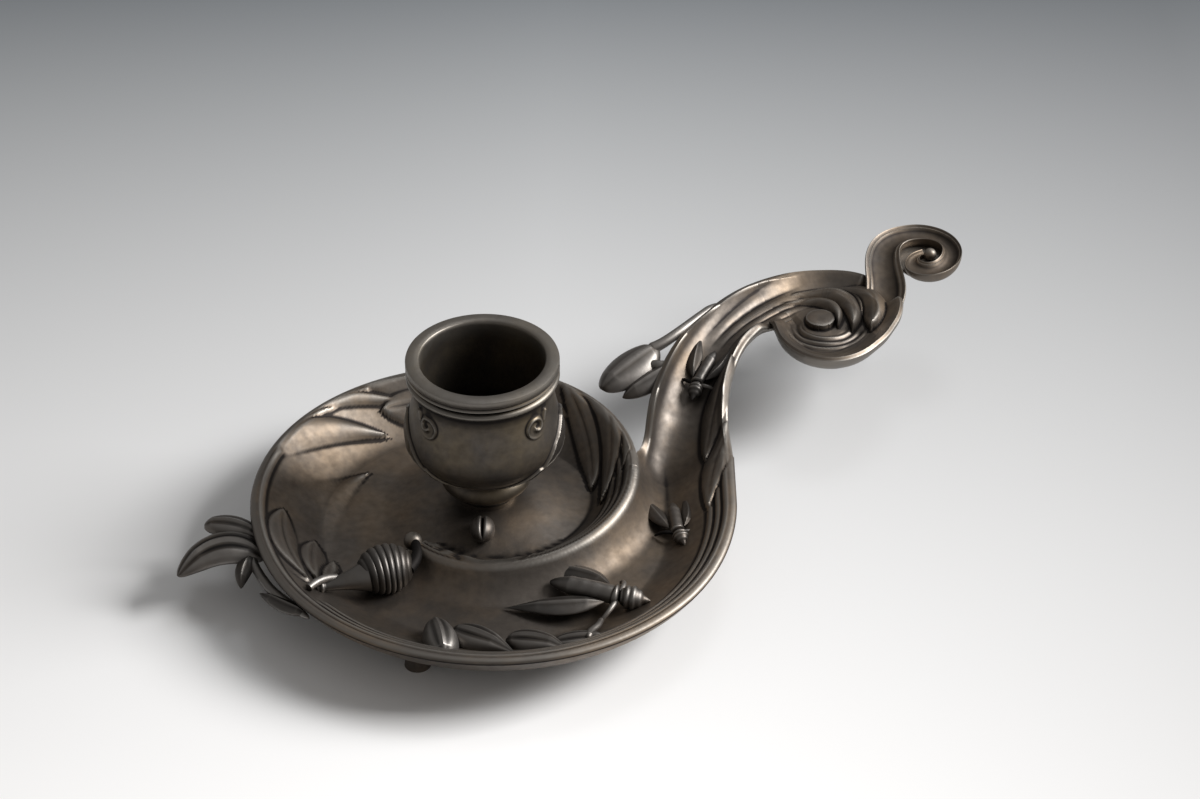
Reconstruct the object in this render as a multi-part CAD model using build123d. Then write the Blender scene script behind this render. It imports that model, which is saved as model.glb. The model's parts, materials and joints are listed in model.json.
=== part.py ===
from build123d import *
from math import cos, degrees, dist, radians, sin, sqrt
import os

# Chamberstick of cast, patinated white metal: a spiral drip pan, a rising trough handle that ends
# in a volute and a curl, and an urn-shaped candle socket on a knop. Millimetres, +Z up.
# It is drawn with the candle's axis at X = Y = 0 and moved at the end, so that the origin
# lies on the table, under the middle of the whole.

# Candle and socket
CANDLE_D = 22.4         # butt of a standard table candle
CANDLE_CLEARANCE = 0.2  # all round the candle
CUP_FLOOR_T = 4.3       # under the candle
SOCKET_TOP = 40.0       # top of the socket above the table
RING_R = 14.0           # flat ring round the mouth
RING_H = 2.4
RING_CHAMFER = 0.4
MOUTH_BEVEL = 0.7
GROOVE_DEPTH = 0.9      # groove under the ring, and the collar below it
GROOVE_H = 0.6
COLLAR_H = 1.4
NECK_R = 12.9           # waist under the collar
NECK_H = 4.2
BELLY_R = 14.4
BELLY_Z = 23.5
CUP_SEAT_R = 6.2
CUP_SEAT_Z = 16.0
KNOP_R = 8.4
KNOP_FOOT_R = 5.6
KNOP_FOOT_H = 1.0
KNOP_WAIST_R = 4.8
KNOP_BULGE = 0.6        # height of its widest point, as a share of the knop's
KNOP_UNDER = 0.23       # height of the bulge under that point, as a share

# Fixing
SCREW_R = 2.0
SCREW_CLEARANCE = 0.2
SCREW_BITE = 2.6        # length that enters the cup
HEAD_R = 3.5
HEAD_H = 2.2
SLOT_W = 0.9
SLOT_DEPTH = 0.8
WASHER_R = 4.6
WASHER_T = 0.8

# Pan
FOOT_H = 4.0
FLOOR_T = 2.0
PAN_DEPTH = 8.0         # floor to rim
WALL_W = 12.0           # width of the curved wall
LIP_W = 1.8
LIP_DROP = 1.0
LIP_CROWN = 0.5
REED_R = 0.7            # reeds along the inside of the rim
REED_INSET = 1.5        # of the first, inside the lip
REED_STEP = 1.7
REED_COUNT = 2
SPIRAL_X = 2.5          # middle of the first arc of the spiral
SPIRAL_Y = -3.0
RIDGE_R = 21.0          # radius of that arc
GROWTH = 1.235          # each quarter turn's radius over the one before
RIDGE_TURN = 50.0       # turn of the first arc, from the ball
RIDGE_W = 7.0
RIDGE_START_H = 4.6     # height of the ridge at the ball
LEFT_R = 46.0           # front left quarter of the rim
FRONT_R = 43.6          # front right quarter, which turns into the handle
BALL_R = 1.8
DOME_R = 17.0           # well floor, domed under the socket
DOME_H = 2.6
SEAT_R = 7.5
SINK = 1.0              # overlap of pieces that are cast as one

# Feet
FOOT_X = 1.5            # middle of the circle that they stand on
FOOT_Y = -8.0
FOOT_CIRCLE = 32.5
FOOT_TURN = 247.0
FOOT_COUNT = 3
FOOT_TOP_R = 3.4
FOOT_WAIST_R = 2.3
FOOT_SOLE_R = 2.4

# Handle
NOTCH_GAP = 0.5         # between the pan's rim and the handle's left wall
NOTCH_DROP = 7.2        # how much lower that wall starts
NOTCH_RUN = 12.0
HANDLE_STRAIGHT = 9.0
HANDLE_BEND_R = 44.0
TROUGH_TURN = 35.0      # part of the bend that the trough takes
BAND_TURN = 47.0        # part that the scroll's band takes
HANDLE_RISE = 7.6
RISE_RUN = 36.0
HANDLE_T = 2.0
HANDLE_LIP = 1.5
BAND_END_W = 3.6        # half the width of the band's end
BAND_END_DEPTH = 2.8
DEPTH_FALL = 3          # power of the fall from the pan's depth to that
SECTIONS = 5

# Scroll and curl
DISH_T = 1.5
SCROLL_R = 13.2
SCROLL_DEPTH = 3.0
SCROLL_WALL_W = 6.0
SCROLL_RUN = 58.0       # where the dish lies along the band
SCROLL_OVERLAP = 5.2    # of the dish and the band
SCROLL_DROP = 0.5       # of the dish's rim under the band's
SCROLL_BEAD_R = 8.6     # first arc of the bead that winds in to the eye
SCROLL_BEAD_START = 225.0
EYE_R = 2.6
EYE_H = 1.8
BEAD_W = 1.6
BEAD_H = 1.0
BEAD_SHRINK = 0.74      # each quarter turn's radius over the one before
BEAD_ARC_COUNT = 4
CURL_R = 9.5
CURL_DEPTH = 1.6
CURL_WALL_W = 4.5
CURL_RISE = 3.2         # above the scroll
CURL_X = 16.7           # from the scroll's middle
CURL_Y = 20.1
CURL_BEAD_R = 5.6
CURL_BEAD_START = 135.0
PEARL_R = 1.8
NECK_HALF_W = 4.9
NECK_DEPTH = 1.2
NECK_ROOT_R = 9.7       # where the neck leaves the scroll
NECK_TURN = 13.0
NECK_LAND = 168.0       # where it meets the curl

# Ornaments
LEAF_T = 1.6
SIDE_LEAF_L = 18.5
SIDE_LEAF_W = 9.0
SIDE_LEAF_TURN = 9.5
SIDE_LOBE_L = 16.5
SIDE_LOBE_W = 6.0
SIDE_LOBE_TURN = 50.0
SIDE_LEAF_AT = 198.0    # on the left quarter of the rim
SIDE_LEAF_Z = 10.4
SIDE_LEAF_INSET = 4.5   # root, inside the rim's edge
SIDE_LEAF_ARCH = 16.0
HANDLE_LEAF_L = 14.5
HANDLE_LEAF_W = 10.5
HANDLE_LEAF_RUN = 25.5
HANDLE_LEAF_HEADING = 192.0
HANDLE_LEAF_INSET = 2.5
HANDLE_LEAF_DROP = 1.0
HANDLE_LEAF_ARCH = 18.0
BUD_L = 9.8
BUD_R = 4.0
BUD_X = -4.0            # from the ball at the end of the ridge
BUD_Y = -6.7
BUD_HEADING = 20.0
RIB_COUNT = 7           # ribs round the bud
RIB_DEPTH = 0.35
RIB_START = 18.0        # turn along the bud's ellipse where the ribs start
STEM_R = 1.2
STEM_INSET = 5.8        # end of the stem, inside the rim's edge
CALYX_R = 1.9
CALYX_L = 2.4
CALYX_T = 0.6
SEED_L = 5.4
SEED_R = 2.2
SEED_AT = 12.1          # from the candle's axis
SEED_TURN = 269.0
SEED_CLEFT = 0.5
FLY_L = 11.0
FLY_R = 1.5
FLY_HEAD_R = 1.4
WING_L = 8.0
WING_W = 3.4
WING_T = 0.7
WING_SPREAD = 26.0
FLOOR_LIFT = 6.0        # of the wings, on the pan's floor
TROUGH_LIFT = 32.0      # and in the trough
FRONT_FLY_AT = 299.0    # bearing from the middle of the ridge
FRONT_FLY_SHARE = 0.21  # place between the ridge and the rim
FRONT_FLY_HEADING = -20.0
SIDE_FLY_ROOM = 17.5    # width of channel that the side fly is made for
SIDE_FLY_SHIFT = -0.2   # from the handle's middle, in half widths
SIDE_FLY_Y = -10.5      # from the handle's start
SIDE_FLY_HEADING = -62.0
TROUGH_FLY_RUN = 24.0

# Values that follow from the sizes above
FLOOR_BOTTOM = FOOT_H
FLOOR_TOP = FLOOR_BOTTOM + FLOOR_T
RIM_TOP = FLOOR_TOP + PAN_DEPTH
SEAT_Z = FLOOR_TOP + DOME_H
BORE_R = CANDLE_D / 2 + CANDLE_CLEARANCE


def polar(centre, radius, angle):
    return (centre[0] + radius * cos(radians(angle)), centre[1] + radius * sin(radians(angle)))


def tangent_arcs(centre, radius, start, sweeps, ratios, way=1):
    # Arcs that follow each other without a kink: each new centre lies on the line through
    # the last one and their common point. way is 1 anticlockwise, -1 clockwise.
    arcs = []
    angle = start
    for sweep, ratio in zip(sweeps, ratios):
        meet = polar(centre, radius, angle)
        radius = radius * ratio
        centre = polar(meet, radius, angle + 180)
        arcs.append((centre, radius, angle, way * sweep))
        angle += way * sweep
    return arcs


def swung(profile, arc):
    # A profile drawn at the arc's radius in the XZ plane, swung along the arc.
    centre, radius, start, sweep = arc
    first = min(start, start + sweep)
    solid = revolve(Plane.XZ * profile(radius), axis=Axis.Z, revolution_arc=abs(sweep))
    return Location((centre[0], centre[1], 0), (0, 0, first)) * solid


def turned(edges, centre=(0, 0)):
    # A half section turned all round a vertical axis.
    return Location((centre[0], centre[1], 0)) * revolve(Plane.XZ * make_face(edges), axis=Axis.Z)


def reeds(radius, width, top, depth):
    # Rounds set on the inside of a curved wall, side by side from its lip down.
    run = width - LIP_W
    bend = (run ** 2 + depth ** 2) / (2 * depth)
    for index in range(REED_COUNT):
        along = run - REED_INSET - index * REED_STEP
        height = bend - sqrt(bend ** 2 - along ** 2)
        yield Pos(radius - width + along, top - depth + height) * Circle(REED_R)


def bowl_wall(radius, width, top, depth, thick):
    # Section of a curved wall with a rolled lip. Its inside and outside leave the floor level.
    floor = top - depth
    lip_in = (radius - LIP_W, top)
    lip_out = (radius, top - LIP_DROP)
    inside = TangentArc((radius - width, floor), lip_in, tangent=(1, 0))
    lip = ThreePointArc(lip_in, (radius - LIP_W / 3, top + LIP_CROWN / 2), lip_out)
    outside = TangentArc((radius - width, floor - thick), lip_out, tangent=(1, 0))
    foot = Line((radius - width, floor - thick), (radius - width, floor))
    return make_face([inside, lip, outside, foot])


def saucer(centre, radius, width, top, depth, thick):
    # A round dish as two solids: its outside, filled to the rim, and its hollow.
    floor = top - depth
    lip_in = (radius - LIP_W, top)
    lip_out = (radius, top - LIP_DROP)
    lip = ThreePointArc(lip_in, (radius - LIP_W / 3, top + LIP_CROWN / 2), lip_out)
    under = TangentArc((radius - width, floor - thick), lip_out, tangent=(1, 0))
    core = Polyline((radius - width, floor - thick), (0, floor - thick), (0, top), lip_in)
    inside = TangentArc((radius - width, floor), lip_in, tangent=(1, 0))
    air = Polyline(lip_in, (lip_in[0], top + SINK), (0, top + SINK), (0, floor), (radius - width, floor))
    return turned([lip, under, core], centre), turned([inside, air], centre)


def bead(radius, base):
    # Section of a half-round moulding that lies on a floor.
    left = (radius - BEAD_W / 2, base)
    right = (radius + BEAD_W / 2, base)
    crown = ThreePointArc(left, (radius, base + BEAD_H), right)
    under = Polyline(right, (right[0], base - SINK), (left[0], base - SINK), left)
    return make_face([crown, under])


# Spiral of the rim: the ridge takes the first two arcs, the pan's wall the others
TURNS = [RIDGE_TURN, 90, 90, 90, 90, 90]
left_ratio = LEFT_R / (RIDGE_R * GROWTH ** 3)
RATIOS = [1, GROWTH, GROWTH, GROWTH, left_ratio, FRONT_R / LEFT_R]
ARCS = tangent_arcs((SPIRAL_X, SPIRAL_Y), RIDGE_R, 270 - RIDGE_TURN, TURNS, RATIOS)
RIDGE_ARCS = ARCS[:2]
WALL_ARCS = ARCS[2:]
NOTCH = polar(WALL_ARCS[0][0], WALL_ARCS[0][1], 0)
RIM_END = polar(WALL_ARCS[-1][0], WALL_ARCS[-1][1], 0)
BALL = polar(RIDGE_ARCS[0][0], RIDGE_R - LIP_W / 2, RIDGE_ARCS[0][2])


def ridge_section(arc, angle, height):
    # The wall's inner side at a lower height, with an upright outer face.
    centre, radius = arc[0], arc[1]
    top = FLOOR_TOP + height
    lip_in = (radius - LIP_W, top)
    lip_out = (radius, top - LIP_DROP)
    base_out = (radius, FLOOR_TOP - SINK)
    base_in = (radius - RIDGE_W, FLOOR_TOP - SINK)
    inside = TangentArc((radius - RIDGE_W, FLOOR_TOP), lip_in, tangent=(1, 0))
    lip = ThreePointArc(lip_in, (radius - LIP_W / 3, top + LIP_CROWN / 2), lip_out)
    under = Polyline(lip_out, base_out, base_in, (radius - RIDGE_W, FLOOR_TOP))
    place = Location((centre[0], centre[1], 0), (0, 0, angle))
    return place * (Plane.XZ * make_face([inside, lip, under]))


def make_ridge():
    # The spiral's first turn rises evenly from the ball to the rim's height.
    full_turn = sum(abs(arc[3]) for arc in RIDGE_ARCS)
    run = 0
    sections = []
    for arc in RIDGE_ARCS:
        steps = max(2, round(arc[3] / 22.5))
        for step in range(0 if not sections else 1, steps + 1):
            turn = arc[3] * step / steps
            share = (run + turn) / full_turn
            height = RIDGE_START_H + (PAN_DEPTH - RIDGE_START_H) * share
            sections.append(ridge_section(arc, arc[2] + turn, height))
        run += arc[3]
    return loft(sections)


def make_pan():
    inner = WALL_W - SINK
    arcs = [CenterArc(c, r - inner, start, sweep) for c, r, start, sweep in WALL_ARCS]
    straight_x = RIM_END[0] - inner
    edge = Polyline((straight_x, RIM_END[1]), (straight_x, NOTCH[1]), (NOTCH[0] - inner, NOTCH[1]))
    plate = extrude(Pos(0, 0, FLOOR_BOTTOM) * make_face(arcs + [edge]), FLOOR_T)

    def section(radius):
        wall = bowl_wall(radius, WALL_W, RIM_TOP, PAN_DEPTH, FLOOR_T)
        return wall + list(reeds(radius, WALL_W, RIM_TOP, PAN_DEPTH))

    pan = plate
    for arc in WALL_ARCS:
        pan += swung(section, arc)
    side = Pos(0, NOTCH[1], 0) * (Plane.XZ * section(RIM_END[0]))
    pan += extrude(side, NOTCH[1] - RIM_END[1], dir=(0, -1, 0))
    pan += make_ridge()
    pan += Pos(BALL[0], BALL[1], FLOOR_TOP + RIDGE_START_H - BALL_R / 2) * Sphere(BALL_R)
    seat = Polyline((SEAT_R, SEAT_Z), (0, SEAT_Z), (0, FLOOR_TOP - SINK), (DOME_R, FLOOR_TOP - SINK),
                    (DOME_R, FLOOR_TOP))
    dome = TangentArc((SEAT_R, SEAT_Z), (DOME_R, FLOOR_TOP), tangent=(1, 0))
    pan += turned([seat, dome])
    hole_h = SEAT_Z - FLOOR_BOTTOM
    pan -= Pos(0, 0, FLOOR_BOTTOM + hole_h / 2) * Cylinder(SCREW_R + SCREW_CLEARANCE, 2 * hole_h)
    return pan


def make_feet(pan):
    side = ThreePointArc((FOOT_SOLE_R, 0), (FOOT_WAIST_R, FOOT_H / 2), (FOOT_TOP_R, FOOT_H + SINK))
    base = Polyline((FOOT_TOP_R, FOOT_H + SINK), (0, FOOT_H + SINK), (0, 0), (FOOT_SOLE_R, 0))
    feet = []
    for index in range(FOOT_COUNT):
        place = polar((FOOT_X, FOOT_Y), FOOT_CIRCLE, FOOT_TURN + index * 360 / FOOT_COUNT)
        feet.append(turned([side, base], place) - pan)
    return feet


def make_knop():
    base = SEAT_Z
    height = CUP_SEAT_Z - SEAT_Z
    widest = base + KNOP_BULGE * height
    bead_z = base + KNOP_FOOT_H
    hollow_z = widest - KNOP_UNDER * height
    foot = Polyline((0, base + height), (0, base), (KNOP_FOOT_R, base), (KNOP_FOOT_R, bead_z))
    mid_z = (bead_z + hollow_z) / 2
    hollow = ThreePointArc((KNOP_FOOT_R, bead_z), (KNOP_WAIST_R, mid_z), (KNOP_FOOT_R, hollow_z))
    low_w = KNOP_R - KNOP_FOOT_R
    under = EllipticalCenterArc((KNOP_FOOT_R, widest), low_w, widest - hollow_z, 270, arc_size=90)
    high_w = KNOP_R - KNOP_WAIST_R
    over = EllipticalCenterArc((KNOP_WAIST_R, widest), high_w, base + height - widest, 0, arc_size=90)
    top = Line((KNOP_WAIST_R, base + height), (0, base + height))
    knop = turned([foot, hollow, under, over, top])
    return knop - Pos(0, 0, base + height / 2) * Cylinder(SCREW_R + SCREW_CLEARANCE, 2 * height)


def make_cup():
    ring_z = SOCKET_TOP - RING_H
    groove_z = ring_z - GROOVE_H
    collar_z = groove_z - COLLAR_H
    neck_z = collar_z - NECK_H / 2
    groove_r = RING_R - GROOVE_DEPTH
    bore_z = CUP_SEAT_Z + CUP_FLOOR_T
    mouth = Polyline((groove_r, groove_z), (groove_r, ring_z), (RING_R, ring_z),
                     (RING_R, SOCKET_TOP - RING_CHAMFER), (RING_R - RING_CHAMFER, SOCKET_TOP),
                     (BORE_R + MOUTH_BEVEL, SOCKET_TOP), (BORE_R, SOCKET_TOP - MOUTH_BEVEL),
                     (BORE_R, bore_z), (0, bore_z), (0, CUP_SEAT_Z), (CUP_SEAT_R, CUP_SEAT_Z))
    bowl_w = BELLY_R - CUP_SEAT_R
    bowl_h = BELLY_Z - CUP_SEAT_Z
    bowl = EllipticalCenterArc((CUP_SEAT_R, BELLY_Z), bowl_w, bowl_h, 270, arc_size=90)
    shoulder = TangentArc((BELLY_R, BELLY_Z), (NECK_R, neck_z), tangent=(0, 1))
    flare = ThreePointArc((NECK_R, neck_z), (NECK_R, (neck_z + collar_z) / 2), (groove_r, collar_z))
    collar = ThreePointArc((groove_r, collar_z), (RING_R, collar_z + COLLAR_H / 2), (groove_r, groove_z))
    cup = turned([mouth, bowl, shoulder, flare, collar])
    return cup - Pos(0, 0, CUP_SEAT_Z) * Cylinder(SCREW_R, 2 * SCREW_BITE)


def make_washer():
    ring = Cylinder(WASHER_R, WASHER_T) - Cylinder(SCREW_R + SCREW_CLEARANCE, WASHER_T)
    return Pos(0, 0, FLOOR_BOTTOM - WASHER_T / 2) * ring


def make_screw():
    head_top = FLOOR_BOTTOM - WASHER_T
    tip = CUP_SEAT_Z + SCREW_BITE
    shank = Pos(0, 0, (head_top + tip) / 2) * Cylinder(SCREW_R, tip - head_top)
    head = Pos(0, 0, head_top - HEAD_H / 2) * Cylinder(HEAD_R, HEAD_H)
    slot = Pos(0, 0, head_top - HEAD_H) * Box(2 * HEAD_R, SLOT_W, 2 * SLOT_DEPTH)
    return shank + head - slot


# The handle's line in plan: straight on from the pan, then a bend to the right
HANDLE_W = (RIM_END[0] - NOTCH[0] - NOTCH_GAP) / 2
HANDLE_START = (RIM_END[0] - HANDLE_W, NOTCH[1])
TROUGH_RUN = HANDLE_STRAIGHT + HANDLE_BEND_R * radians(TROUGH_TURN)
HANDLE_RUN = TROUGH_RUN + HANDLE_BEND_R * radians(BAND_TURN)
HANDLE_TOP = RIM_TOP + HANDLE_RISE


def handle_point(run):
    # Place and heading at a distance along the handle.
    x, y = HANDLE_START
    if run <= HANDLE_STRAIGHT:
        return (x, y + run), 90
    heading = 90 - degrees((run - HANDLE_STRAIGHT) / HANDLE_BEND_R)
    centre = (x + HANDLE_BEND_R, y + HANDLE_STRAIGHT)
    return polar(centre, HANDLE_BEND_R, heading + 90), heading


def handle_edge_z(run):
    share = min(run / RISE_RUN, 1)
    return RIM_TOP + HANDLE_RISE * share * share * (3 - 2 * share)


def handle_floor_z(run):
    # The channel is as deep as the pan at first and soon gets shallower.
    share = 1 - run / HANDLE_RUN
    return handle_edge_z(run) - BAND_END_DEPTH - (PAN_DEPTH - BAND_END_DEPTH) * share ** DEPTH_FALL


def handle_half_width(run):
    return HANDLE_W + (BAND_END_W - HANDLE_W) * run / HANDLE_RUN


def across(place, ahead):
    # Upright plane across a heading: local X to its right, local Y up.
    right = (ahead[1], -ahead[0], 0)
    return Plane((place[0], place[1], 0), x_dir=right, z_dir=(-ahead[0], -ahead[1], 0))


def handle_plane(run):
    place, heading = handle_point(run)
    return across(place, polar((0, 0), 1, heading))


def crescent(half, left_z, right_z, floor):
    # Section of a channel as two faces: its outside, filled to the lips, and its hollow.
    # Both sides leave the middle of the floor level.
    under = (0, floor - HANDLE_T)
    outside = [TangentArc(under, (half, right_z), tangent=(1, 0)),
               TangentArc(under, (-half, left_z), tangent=(-1, 0))]
    chord = Line((-half, left_z), (half, right_z))
    clear = half - HANDLE_LIP
    inside = [TangentArc((0, floor), (clear, right_z), tangent=(1, 0)),
              TangentArc((0, floor), (-clear, left_z), tangent=(-1, 0))]
    air = Polyline((clear, right_z), (clear, right_z + SINK), (-clear, left_z + SINK), (-clear, left_z))
    return make_face(outside + [chord]), make_face(inside + [air])


def handle_section(run):
    right_z = handle_edge_z(run)
    left_z = right_z - NOTCH_DROP * max(0, 1 - run / NOTCH_RUN) ** 2
    plane = handle_plane(run)
    return [plane * face for face in crescent(handle_half_width(run), left_z, right_z, handle_floor_z(run))]


def handle_loft(first, last):
    # Outside and hollow of a stretch of the handle.
    runs = [first + (last - first) * step / SECTIONS for step in range(SECTIONS + 1)]
    sections = [handle_section(run) for run in runs]
    return loft([pair[0] for pair in sections]), loft([pair[1] for pair in sections])


# The scroll's dish lies against the inner side of the band
scroll_side, scroll_heading = handle_point(SCROLL_RUN)
SCROLL_OFFSET = SCROLL_R + handle_half_width(SCROLL_RUN) - SCROLL_OVERLAP
SCROLL = polar(scroll_side, SCROLL_OFFSET, scroll_heading - 90)
SCROLL_TOP = HANDLE_TOP - SCROLL_DROP
CURL = (SCROLL[0] + CURL_X, SCROLL[1] + CURL_Y)
CURL_TOP = HANDLE_TOP + CURL_RISE


def volute(centre, radius, start, base):
    # A bead that winds inwards, clockwise, by quarter turns. Gives the middle of its last arc too.
    def section(arc_radius):
        return bead(arc_radius, base)

    ratios = [1] + [BEAD_SHRINK] * (BEAD_ARC_COUNT - 1)
    arcs = tangent_arcs(centre, radius, start, [90] * BEAD_ARC_COUNT, ratios, -1)
    winding = swung(section, arcs[0])
    for arc in arcs[1:]:
        winding += swung(section, arc)
    return winding, arcs[-1][0]


def make_neck():
    # Channel from the scroll up to the curl, as its outside and its hollow.
    start = polar(SCROLL, NECK_ROOT_R, NECK_TURN)
    end = polar(CURL, CURL_R - CURL_WALL_W, NECK_LAND)
    length = dist(start, end)
    ahead = ((end[0] - start[0]) / length, (end[1] - start[1]) / length)
    sections = []
    for place, lip in ((start, SCROLL_TOP), (end, CURL_TOP)):
        faces = crescent(NECK_HALF_W, lip, lip, lip - NECK_DEPTH)
        sections.append([across(place, ahead) * face for face in faces])
    return loft([pair[0] for pair in sections]), loft([pair[1] for pair in sections])


def make_scroll_and_curl():
    # Dish, band and neck are cast as one: what is inside any of them is hollow.
    dish, dish_air = saucer(SCROLL, SCROLL_R, SCROLL_WALL_W, SCROLL_TOP, SCROLL_DEPTH, DISH_T)
    band, band_air = handle_loft(TROUGH_RUN, HANDLE_RUN)
    neck, neck_air = make_neck()
    end, end_air = saucer(CURL, CURL_R, CURL_WALL_W, CURL_TOP, CURL_DEPTH, DISH_T)
    scroll = dish - dish_air - band_air - neck_air
    scroll += band - band_air - dish_air - neck_air
    scroll += neck - neck_air - dish_air - band_air - end_air
    winding, eye = volute(SCROLL, SCROLL_BEAD_R, SCROLL_BEAD_START, SCROLL_TOP - SCROLL_DEPTH)
    scroll += winding
    scroll += Pos(eye[0], eye[1], SCROLL_TOP - SCROLL_DEPTH) * Cylinder(EYE_R, 2 * EYE_H)
    curl = end - end_air - neck_air
    winding, pearl = volute(CURL, CURL_BEAD_R, CURL_BEAD_START, CURL_TOP - CURL_DEPTH)
    curl += winding
    curl += Pos(pearl[0], pearl[1], CURL_TOP - CURL_DEPTH) * Sphere(PEARL_R)
    return scroll, curl - neck - scroll


def lens(length, width):
    # Leaf outline from its root at the origin to its tip on +X.
    over = ThreePointArc((0, 0), (length / 2, width / 2), (length, 0))
    under = ThreePointArc((length, 0), (length / 2, -width / 2), (0, 0))
    return make_face([over, under])


def arched_leaf(outline, length, arch, top):
    # An outline cut out of an arched sheet, whose crown is over the leaf's middle.
    reach = 2 * arch
    tube = Cylinder(arch, reach) - Cylinder(arch - LEAF_T, reach)
    sheet = Pos(length / 2, 0, top - arch) * Rot(90, 0, 0) * tube
    return extrude(Pos(0, 0, top - arch) * outline, 2 * arch) & sheet


def make_side_leaf(pan):
    centre, radius = WALL_ARCS[2][0], WALL_ARCS[2][1]
    root = polar(centre, radius - SIDE_LEAF_INSET, SIDE_LEAF_AT)
    outline = Rot(0, 0, -SIDE_LEAF_TURN) * lens(SIDE_LEAF_L, SIDE_LEAF_W)
    outline += Rot(0, 0, -SIDE_LOBE_TURN) * lens(SIDE_LOBE_L, SIDE_LOBE_W)
    leaf = arched_leaf(outline, SIDE_LEAF_L, SIDE_LEAF_ARCH, SIDE_LEAF_Z)
    return Location((root[0], root[1], 0), (0, 0, SIDE_LEAF_AT)) * leaf - pan


def make_handle_leaf(trough_filled):
    place, heading = handle_point(HANDLE_LEAF_RUN)
    root = polar(place, handle_half_width(HANDLE_LEAF_RUN) - HANDLE_LEAF_INSET, heading + 90)
    top = handle_edge_z(HANDLE_LEAF_RUN) - HANDLE_LEAF_DROP
    leaf = arched_leaf(lens(HANDLE_LEAF_L, HANDLE_LEAF_W), HANDLE_LEAF_L, HANDLE_LEAF_ARCH, top)
    return Location((root[0], root[1], 0), (0, 0, HANDLE_LEAF_HEADING)) * leaf - trough_filled


def spindle(length, radius):
    # An ellipsoid along X.
    return scale(Sphere(radius), by=(length / 2 / radius, 1, 1))


def reach(start, heading, centre, radius):
    # Distance from a point, along a heading, to a circle round it.
    away = (start[0] - centre[0], start[1] - centre[1])
    along = away[0] * cos(radians(heading)) + away[1] * sin(radians(heading))
    return sqrt(along ** 2 + radius ** 2 - away[0] ** 2 - away[1] ** 2) - along


BUD = (BALL[0] + BUD_X, BALL[1] + BUD_Y)
BUD_PLACE = Location((BUD[0], BUD[1], FLOOR_TOP + BUD_R - SINK / 2), (0, 0, BUD_HEADING))


def make_bud(pan):
    # Ribs as arcs whose crests lie on an ellipse, turned round its long axis, between flat ends.
    def on_ellipse(turn, inset):
        return ((inset - BUD_L / 2) * cos(radians(turn)), (BUD_R - inset) * sin(radians(turn)))

    step = (180 - 2 * RIB_START) / RIB_COUNT
    turns = [RIB_START + step * index for index in range(RIB_COUNT + 1)]
    valleys = [on_ellipse(turn, RIB_DEPTH) for turn in turns]
    crests = [on_ellipse(turn + step / 2, 0) for turn in turns]
    ribs = [ThreePointArc(*points) for points in zip(valleys, crests, valleys[1:])]
    ends = Polyline(valleys[-1], (valleys[-1][0], 0), (valleys[0][0], 0), valleys[0])
    bud = revolve(make_face(ribs + [ends]), axis=Axis.X)
    return BUD_PLACE * bud - pan


def make_stem(pan):
    # A calyx that cups the bud's end, and a stem on the floor from there to the pan's wall.
    body = spindle(BUD_L, BUD_R)
    shell = scale(body, by=1 + CALYX_T / BUD_R)
    calyx = shell & Pos(-BUD_L / 2, 0, 0) * Box(2 * CALYX_L, 4 * BUD_R, 4 * BUD_R)
    back = polar(BUD, BUD_L / 2, BUD_HEADING + 180)
    length = reach(back, BUD_HEADING + 180, WALL_ARCS[2][0], WALL_ARCS[2][1] - STEM_INSET)
    rod = Rot(0, 90, 0) * Cone(STEM_R, CALYX_R, length + SINK)
    stem = Pos((SINK - length - BUD_L) / 2, 0, STEM_R - BUD_R + SINK / 2) * rod
    return BUD_PLACE * (calyx + stem - body) - pan


def dome_z(radius):
    # Height of the domed floor at a distance from the candle's axis.
    run = DOME_R - SEAT_R
    bend = (run ** 2 + DOME_H ** 2) / (2 * DOME_H)
    return SEAT_Z - bend + sqrt(bend ** 2 - (radius - SEAT_R) ** 2)


def make_seed(pan):
    place = polar((0, 0), SEED_AT, SEED_TURN)
    seed = spindle(SEED_L, SEED_R)
    seed -= Pos(0, 0, SEED_R) * Box(SEED_L, SEED_CLEFT, SEED_R)
    return Location((place[0], place[1], dome_z(SEED_AT) + SEED_R / 2), (0, 0, SEED_TURN)) * seed - pan


def fly(lift):
    # Body and head on +X, with a pair of wings laid back and lifted at their tips.
    insect = Pos(0, 0, FLY_R / 2) * spindle(FLY_L, FLY_R)
    insect += Pos(FLY_L / 2, 0, FLY_R / 2) * Sphere(FLY_HEAD_R)
    for side in (1, -1):
        wing = extrude(Pos(-WING_L / 2, 0, 0) * Ellipse(WING_L / 2, WING_W / 2), WING_T)
        lie = Rot(side * lift, 0, 0) * Rot(0, 0, -side * WING_SPREAD)
        insect += Pos(FLY_L / 4, side * FLY_R / 2, -WING_T / 3) * lie * wing
    return insect


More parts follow.
